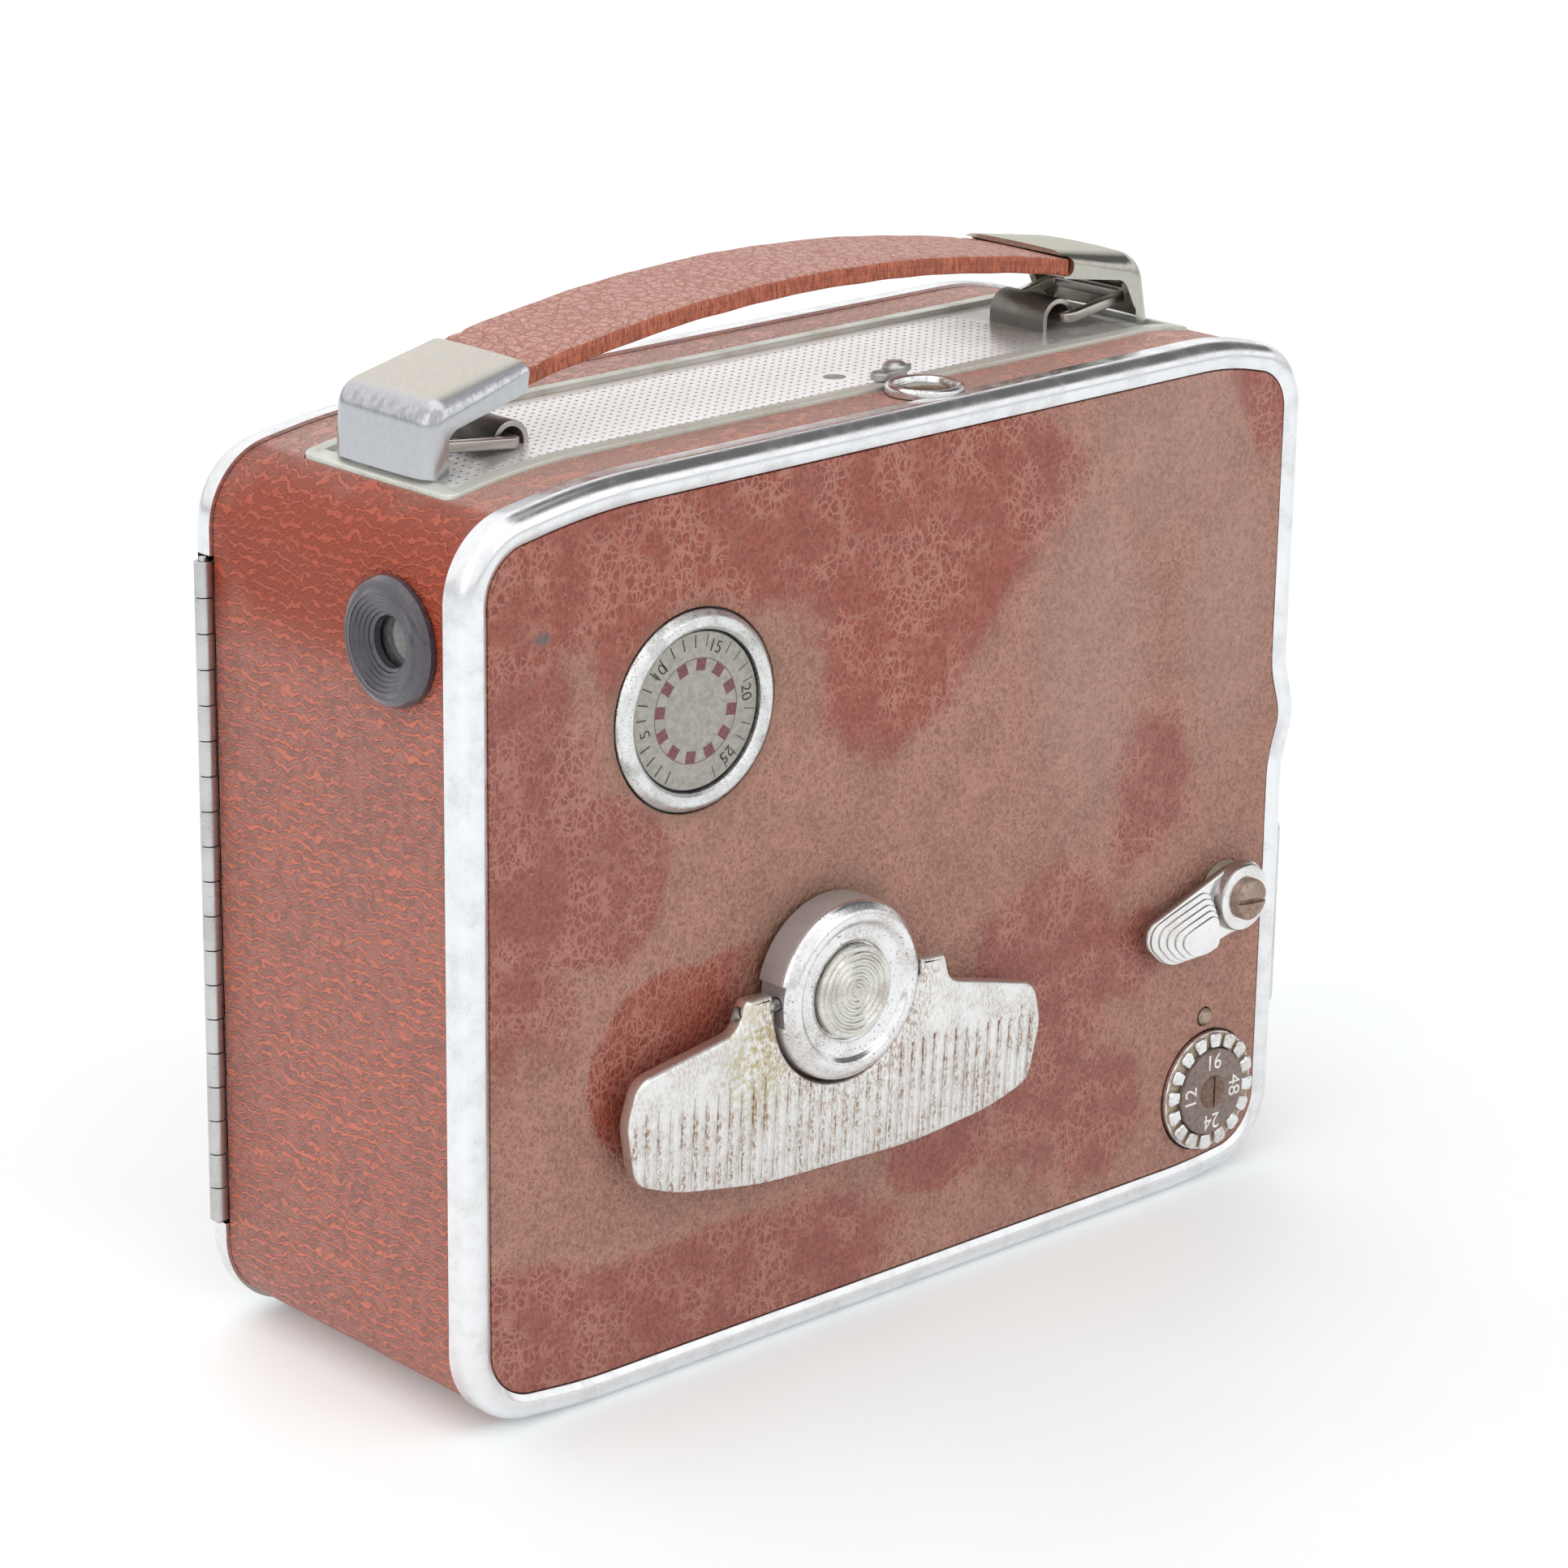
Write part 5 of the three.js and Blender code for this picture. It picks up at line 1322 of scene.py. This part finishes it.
# ---------------------------------------------------------------- the winding key
def pin_room():
    """A tool for the wing's hinge pin."""
    return rod("pin", 0.95, KEY.x - 20, KEY.x + 20, "X", KEY_PIN, 24)


def build_key():
    centre = (KEY.x, KEY.z)
    low = span("key_hub")[0].y
    profile = [(0, -31.6), (6.35, -31.6), (6.35, -31.95, 0.1), (6.9, -32.1, 0.3), (8.6, -32.1, 0.5),
               (9.3, low - 0.02, 0.7), (10.35, low - 0.02, 1.3), (11.8, -31.7, 1.5), (11.8, -30.4, 0.3),
               (11.8, -27.1, 0.2), (0, -27.1)]
    sides = [block("side", KEY.x + a, KEY.x + b, -31.9, -26, KEY.z - 3, KEY.z + 2.4)
             for a, b in ((10.9, 13), (-13, -10.9))]
    hub = coat(carve(turned("hub_drum", profile, "Y", centre, 128), pin_room(), *sides), "hub", "hub_wall")
    stands_for(tilt_key(use_second(hub, lambda along: along < 0.2)), "key_hub")

    rings = [(0, -33.15), (0.55, -33.15, 0.15), (0.8, -32.78, 0.1)]
    for k in range(5):
        radius = 1.1 + 0.9 * k
        rings += [(radius, -32.78, 0.1), (radius + 0.2, -33.12, 0.1), (radius + 0.45, -33.12, 0.1),
                  (radius + 0.65, -32.78, 0.1)]
    rings += [(5.75, -32.9, 0.2), (6.1, -32.6, 0.2), (6.1, -31.75), (0, -31.75)]
    stands_for(tilt_key(turned("key_boss", rings, "Y", centre, 96)), "key_button", "button")

    x0, x1 = KEY.x - 16.4, KEY.x + 16.4
    pin = turned("wing_pin", [(0, x0), (0.8, x0, 0.2), (0.8, x1, 0.2), (0, x1)], "X", KEY_PIN, 24)
    stands_for(tilt_key(pin), "key_hinge_pin", "steel")
    stands_for(rod("arbor", 3, -26.95, -5.6, "Y", centre, 32), "winding_arbor", "steel")


def build_wing():
    """The folding wing, with upright grooves on its lower part."""
    half = [(12.7, 1.5, 0.3), (17.0, 1.5, 0.9), (18.2, -2.3, 2.6), (33.9, -5.6, 3.2), (35.4, -11, 6),
            (33.8, -19, 3.5),
            (27, -21.4, 30), (13, -23.3, 60)]
    mirrored = [(-a, b, r) for a, b, r in reversed(half)]
    bay = arc(0, 0, 12.3, 183, 357, 48)
    line = rounded(half + mirrored + [(-12.7, -0.6)] + bay + [(12.7, -0.6)], fine=0.3)
    front, groove = -31.3, 0.75
    wing = plate("wing", [(KEY.x + a, KEY.z + b) for a, b in line], front, -28.9, bevel=0.6)
    pin = pin_room()
    cutters = []
    for k in range(-17, 18):
        x = KEY.x + k * WING_PITCH
        end = KEY.z - 9.2 - (abs(k) / 17) ** 2 + (0.5 if k % 3 else 0.0)
        cutters.append(plate("groove", rounded_box(x - groove / 2, x + groove / 2, KEY.z - 30, end, 0.28),
                             front - 0.5, front + 0.14))
    wing = carve(carve(wing, pin), joined("comb", *cutters))
    stands_for(tilt_key(wing), "key_wing", "wing")


# ---------------------------------------------------------------- lens and controls
def build_lens():
    centre = (LENS.y, LENS.z)

    def knurl(count, depth, low, high):
        def ripple(turn, radius, along):
            if low < along < high and radius > 9:
                return radius - depth * abs(math.sin(turn * count / 2)) ** 0.7
            return radius
        return ripple

    mount = turned("lens_flange",
                   [(8.6, 63.5), (9.9, 63.5), (9.9, 73.8), (12.2, 73.8, 0.1), (12.2, 75.3, 0.3),
                                   (11.5, 75.8, 0.3), (8.6, 75.8)], "X", centre, 120)
    stands_for(mount, "lens_mount", "trim")
    barrel = turned("lens_tube",
                    [(6.2, 64), (8.4, 64), (8.4, 80.6), (9.6, 80.6, 0.15), (9.6, 81.2), (9.6, 83.4),
                                  (9.6, 84.1, 0.3), (9.0, 84.5, 0.2), (7.4, 84.5, 0.2),
                                  (6.2, 83)], "X", centre, 240,
                    knurl(60, 0.25, 81.0, 83.6))
    stands_for(barrel, "lens_barrel", "black")
    ring = turned("iris_ring",
                  [(8.6, 76.1), (10.4, 76.1, 0.2), (10.4, 76.9), (10.4, 77.1), (10.4, 78.2), (10.4, 78.4),
                                (10.4, 80.3, 0.2), (8.6, 80.3)], "X", centre, 240, knurl(72, 0.3, 77.0, 78.3))
    parts = [coat(ring, "sheet")]
    lift = Matrix.Translation(Vector((79.3, -10.42, 0)) * MM) @ Matrix.Rotation(math.pi / 2, 4, "Y")
    for k, text in enumerate(("2", "2.8", "4", "5.6", "8", "11", "16")):
        stop = figure(text, 1.3, "ink_black")  # lifted to the ring's surface and carried round the lens axis
        turn = Matrix.Rotation(math.radians(-60 + 24 * k), 4, "X")
        stop.data.transform(Matrix.Translation(Vector((0, *centre)) * MM) @ turn @ lift)
        parts.append(stop)
    stands_for(joined("iris_ring_and_stops", *parts), "aperture_ring")
    front = turned("lens_front", [(0, 79), (6, 79.6), (6, 81), (3.5, 81.9, 4), (0, 82.3)], "X", centre)
    stands_for(front, "front_lens_element", "glass")
    rear = turned("lens_rear", [(0, 65.2), (3.5, 65.6, 4), (6, 66.4), (6, 67.4), (0, 67.8)], "X", centre)
    stands_for(rear, "rear_lens_element", "glass")
    iris = turned("iris_stop", [(2.2, 73), (6.3, 73), (6.3, 73.3), (2.2, 73.3, 0.1)], "X", centre)
    goes_with(iris, "lens_barrel", "black")


def build_lever():
    """A polished lever: a rounded plate, terraces that climb from its tip, and a boss under the screw."""
    cx, cz = LEVER.x, LEVER.z
    tip = [(-19.65, -1.65, 2.4), (-14.1, -7.2, 5), (-8.9, -7.2, 8)]
    outline = tip + [(-1.2, -5.4, 5), (4.6, -4.9, 2.6), (6.1, 0.6, 4), (3.5, 4.4, 3.5), (-1.5, 4.6, 6),
                     (-13.5, 0.5, 6)]
    line = rounded([(cx + a, cz + b, r) for a, b, r in outline], fine=0.25)
    parts = [plate("base", line, -29.35, -28.1, bevel=0.45)]
    thumb = tip + [(-4.4, -6.2, 2.2), (-5.2, 2.9, 2.4), (-13.5, 0.5, 6)]
    heart = (-5.0, -5.6)  # the terraces crowd towards this point
    for k, scale in enumerate((0.965, 0.86, 0.755, 0.65, 0.545)):
        step = [(cx + heart[0] + (a - heart[0]) * scale, cz + heart[1] + (b - heart[1]) * scale, r * scale)
                for a, b, r in thumb]
        parts.append(plate("step", rounded(step, fine=0.25), -29.66 - 0.27 * k, -29.1, bevel=0.16))
    parts.append(turned("boss",
                        [(0, -30.9), (3.3, -30.9, 0.3), (4.6, -30.75, 0.5), (4.95, -29.0), (0, -29.0)], "Y",
                        (cx, cz), 64))
    # The walls of the terraces and the boss get a darker copy of the chrome: painted shade.
    for part in parts:
        use_second(coat(part, "lever", "lever_step"), lambda along: along < 0.8)
    back = turned("back", [(0, -28.3), (4.0, -28.3, 0.2), (4.3, -26.5), (1.9, -26.5), (1.9, -20), (0, -20)],
                  "Y",
                  (cx, cz), 64)
    stands_for(joined("lever_body", *parts, coat(back, "boss")), "run_lever")
    stands_for(screw((cx, -30.9, cz), "Y", 2.9, 1.5, turn=0.08, sign=-1), "lever_screw", "rusty")


# ---------------------------------------------------------------- film side
def build_film_side():
    supply, takeup = (SUPPLY.x, SUPPLY.z), (TAKEUP.x, TAKEUP.z)
    for node, centre in (("supply_spool", supply), ("takeup_spool", takeup)):
        spool = turned(f"{node}_body", [(2.5, 2.6), (25.4, 2.6, 0.1), (25.4, 3.3, 0.3), (8, 3.3), (8, 19.5),
                                        (25.4, 19.5, 0.3), (25.4, 20.2, 0.1), (2.5, 20.2)], "Y", centre, 96)
        windows = []
        for k in range(3):
            turn = math.radians(120 * k + 20)
            spot = (centre[0] + 16 * math.cos(turn), centre[1] + 16 * math.sin(turn))
            windows.append(rod("window", 3.4, 19, 21, "Y", spot, 36))
        stands_for(carve(spool, *windows), node, "sheet")
    for node, radius, centre in (("supply_film_roll", 21.5, supply), ("takeup_film_roll", 12.5, takeup)):
        profile = [(8.3, 3.5), (radius, 3.5, 0.1), (radius, 19.3, 0.1)]
        for k in range(int((radius - 8.6) / 0.5)):  # each turn of film stands a little proud or low
            edge = radius - 0.25 - 0.5 * k
            profile += [(edge, 19.3 - 0.05 * ((k * 7) % 3)), (edge - 0.25, 19.18 - 0.05 * ((k * 5) % 3))]
        profile.append((8.3, 19.2))
        stands_for(turned(f"{node}_turns", profile, "Y", centre, 96, smooth=60), node, "film")
    spindle = turned("spindle", [(0, 0.75), (5, 0.75), (5, 1.6, 0.2), (2.2, 1.6), (2.2, 20.3, 0.5), (0, 20.6)], "Y",
                     supply, 40)
    stands_for(spindle, "supply_spindle", "trim")
    for node, key in (("film_gate", "trim"), ("claw", "trim"), ("pressure_pad", "black"),
                      ("shutter_disc", "black"), ("mainspring", "steel"), ("spring_barrel", "brass"),
                      ("takeup_drive", "brass")):
        coat(frame["nodes"][node], key)


def build_film_run():
    """The strip of film from the supply roll through the gate to the take-up roll, and its guide rollers."""
    lane = middle("film_gate").x - 0.75  # between the pad and the gate
    path = [(SUPPLY.x + 18.0, SUPPLY.z + 11.6), (2, 104), (22, 108.6), (40, 105.5), (50.5, 97.5), (55.4, 90),
            (lane, 83), (lane, 72), (lane, 60), (lane, 48), (55.6, 40), (50, 30), (39, 21.5), (24, 18),
            (10, 20.2),
            (TAKEUP.x + 9.2, TAKEUP.z - 8.5)]
    curve = bpy.data.curves.new("run", "CURVE")
    curve.dimensions = "3D"
    spline = curve.splines.new("BEZIER")
    spline.bezier_points.add(len(path) - 1)
    for spot, (x, z) in zip(spline.bezier_points, path):
        spot.co = Vector((x, 0, z)) * MM
        spot.handle_left_type = spot.handle_right_type = "AUTO"
    spline.resolution_u = 10
    run = link("run", curve)
    line = [vertex.co / MM for vertex in made_of(run).vertices]
    bpy.data.objects.remove(run)
    points, faces = [], []
    for i, spot in enumerate(line):
        ahead = line[min(i + 1, len(line) - 1)] - line[max(i - 1, 0)]
        side = Vector((ahead.z, 0, -ahead.x)).normalized() * 0.08
        for y in (3.6, 19.2):
            points += [(spot.x + side.x, y, spot.z + side.z), (spot.x - side.x, y, spot.z - side.z)]
    last = 4 * (len(line) - 1)
    for a in range(0, last, 4):
        b = a + 4
        faces += [[a, a + 2, b + 2, b], [a + 1, b + 1, b + 3, a + 3],
                  [a, b, b + 1, a + 1], [a + 2, a + 3, b + 3, b + 2]]
    faces += [[0, 1, 3, 2], [last, last + 2, last + 3, last + 1]]
    goes_with(make("film_strip", points, faces, 60), "film_gate", "film")
    for k, z in enumerate((97.4, 32.2)):
        roller = turned(f"guide_roller_{k + 1}", [
            (0, 0.75), (1.2, 0.75), (1.2, 2.6), (4.2, 2.6, 0.2), (4.2, 3.4, 0.1), (3.2, 3.6), (3.2, 19.2),
            (4.2, 19.4, 0.1), (4.2, 20.2, 0.2), (1.6, 20.2), (1.6, 20.8, 0.3), (0, 20.8)], "Y", (46.5, z), 48)
        goes_with(roller, "film_gate", "trim")


# ---------------------------------------------------------------- stage
def build_stage():
    floor = plate("floor", rounded_box(-6000, 6000, -6000, 6000, 100), -20, 0, "Z")
    look = Look("floor_white", roughness=0.55, Emission_Color=(0.82, 1.0, 1.0, 1.0), Emission_Strength=0.135)
    mark = look.band(look.noise(60, 4, 0.6), 0.3, 0.7)
    coat(floor, look.done(look.mix(mark, (0.905, 0.905, 0.905), (0.93, 0.93, 0.93))))

    world = bpy.data.worlds.new("studio")
    bpy.context.scene.world = world
    world.use_nodes = True
    tree = world.node_tree
    tree.nodes.clear()
    way = add_node(tree, "ShaderNodeTexCoord").outputs["Generated"]
    height = add_node(tree, "ShaderNodeSeparateXYZ", {0: way}).outputs[2]
    ramp = add_node(tree, "ShaderNodeValToRGB", {0: height})
    stops = ramp.color_ramp.elements
    stops[0].position, stops[0].color = 0.0, (0.45, 0.455, 0.47, 1)
    stops[1].position, stops[1].color = 0.9, (1.0, 1.0, 1.0, 1)
    for position, color in ((0.06, (0.5, 0.505, 0.52)), (0.14, (0.93, 0.93, 0.93)),
                            (0.55, (0.98, 0.98, 0.98))):
        stops.new(position).color = (*color, 1)
    # A dark flag high over the lens end gives rounded metal its grey streak.
    toward = add_node(tree, "ShaderNodeVectorMath", {0: way, 1: Vector((0.645, -0.05, 0.762)).normalized()},
                      operation="DOT_PRODUCT").outputs["Value"]
    flag = add_node(tree, "ShaderNodeMapRange", {
        "Value": toward, "From Min": 0.80, "From Max": 0.92, "To Min": 1.0, "To Max": 0.13,
    }, interpolation_type="SMOOTHSTEP").outputs[0]
    dimmed = add_node(tree, "ShaderNodeVectorMath", {0: ramp.outputs[0], "Scale": flag}, operation="SCALE")
    light = add_node(tree, "ShaderNodeBackground", {"Color": dimmed.outputs[0], "Strength": 1.2})
    add_node(tree, "ShaderNodeOutputWorld", {"Surface": light.outputs[0]})

    target = Vector((0, 0, 60))
    for name, spot, size, power in (
            ("overhead", (-100, -150, 900), 800, 0.7), ("left", (-900, -250, 520), 600, 0.7),
            ("right", (350, -950, 560), 600, 0.4)):
        lamp = bpy.data.lights.new(name, "AREA")
        lamp.shape, lamp.size, lamp.energy = "SQUARE", size * MM, power
        holder = link(name, lamp)
        holder.location = Vector(spot) * MM
        holder.rotation_euler = (target - Vector(spot)).to_track_quat("-Z", "Y").to_euler()


def build_camera():
    azimuth, elevation, roll = (math.radians(a) for a in (-42.64, 17.67, 0.84))
    target, distance = Vector((14.6, 11.5, 57.75)), 618.7
    back = Vector((math.sin(azimuth) * math.cos(elevation), -math.cos(azimuth) * math.cos(elevation),
                   math.sin(elevation)))
    level = Vector((math.cos(azimuth), math.sin(azimuth), 0))
    right = level * math.cos(roll) + back.cross(level) * math.sin(roll)
    lens = bpy.data.cameras.new("camera")
    lens.sensor_width, lens.lens = 36, 105.6
    lens.clip_start, lens.clip_end = 0.01, 50
    holder = link("camera", lens)
    place = Matrix((right, back.cross(right), back)).transposed().to_4x4()
    place.translation = (target + back * distance) * MM
    holder.matrix_world = place
    bpy.context.scene.camera = holder
    bpy.context.scene.view_settings.view_transform = "Standard"


for build in (
        build_camera, build_stage, build_trims, build_wrap, build_shell, build_faces, build_latch,
        build_hinge,
        build_front_and_base, build_frame, build_perforated_plate, build_hooks, build_window, build_catch,
        build_strap, build_caps, build_links, build_finder, build_footage_dial, build_speed_dial, build_key,
        build_wing, build_lens, build_lever, build_film_side, build_film_run):
    build()
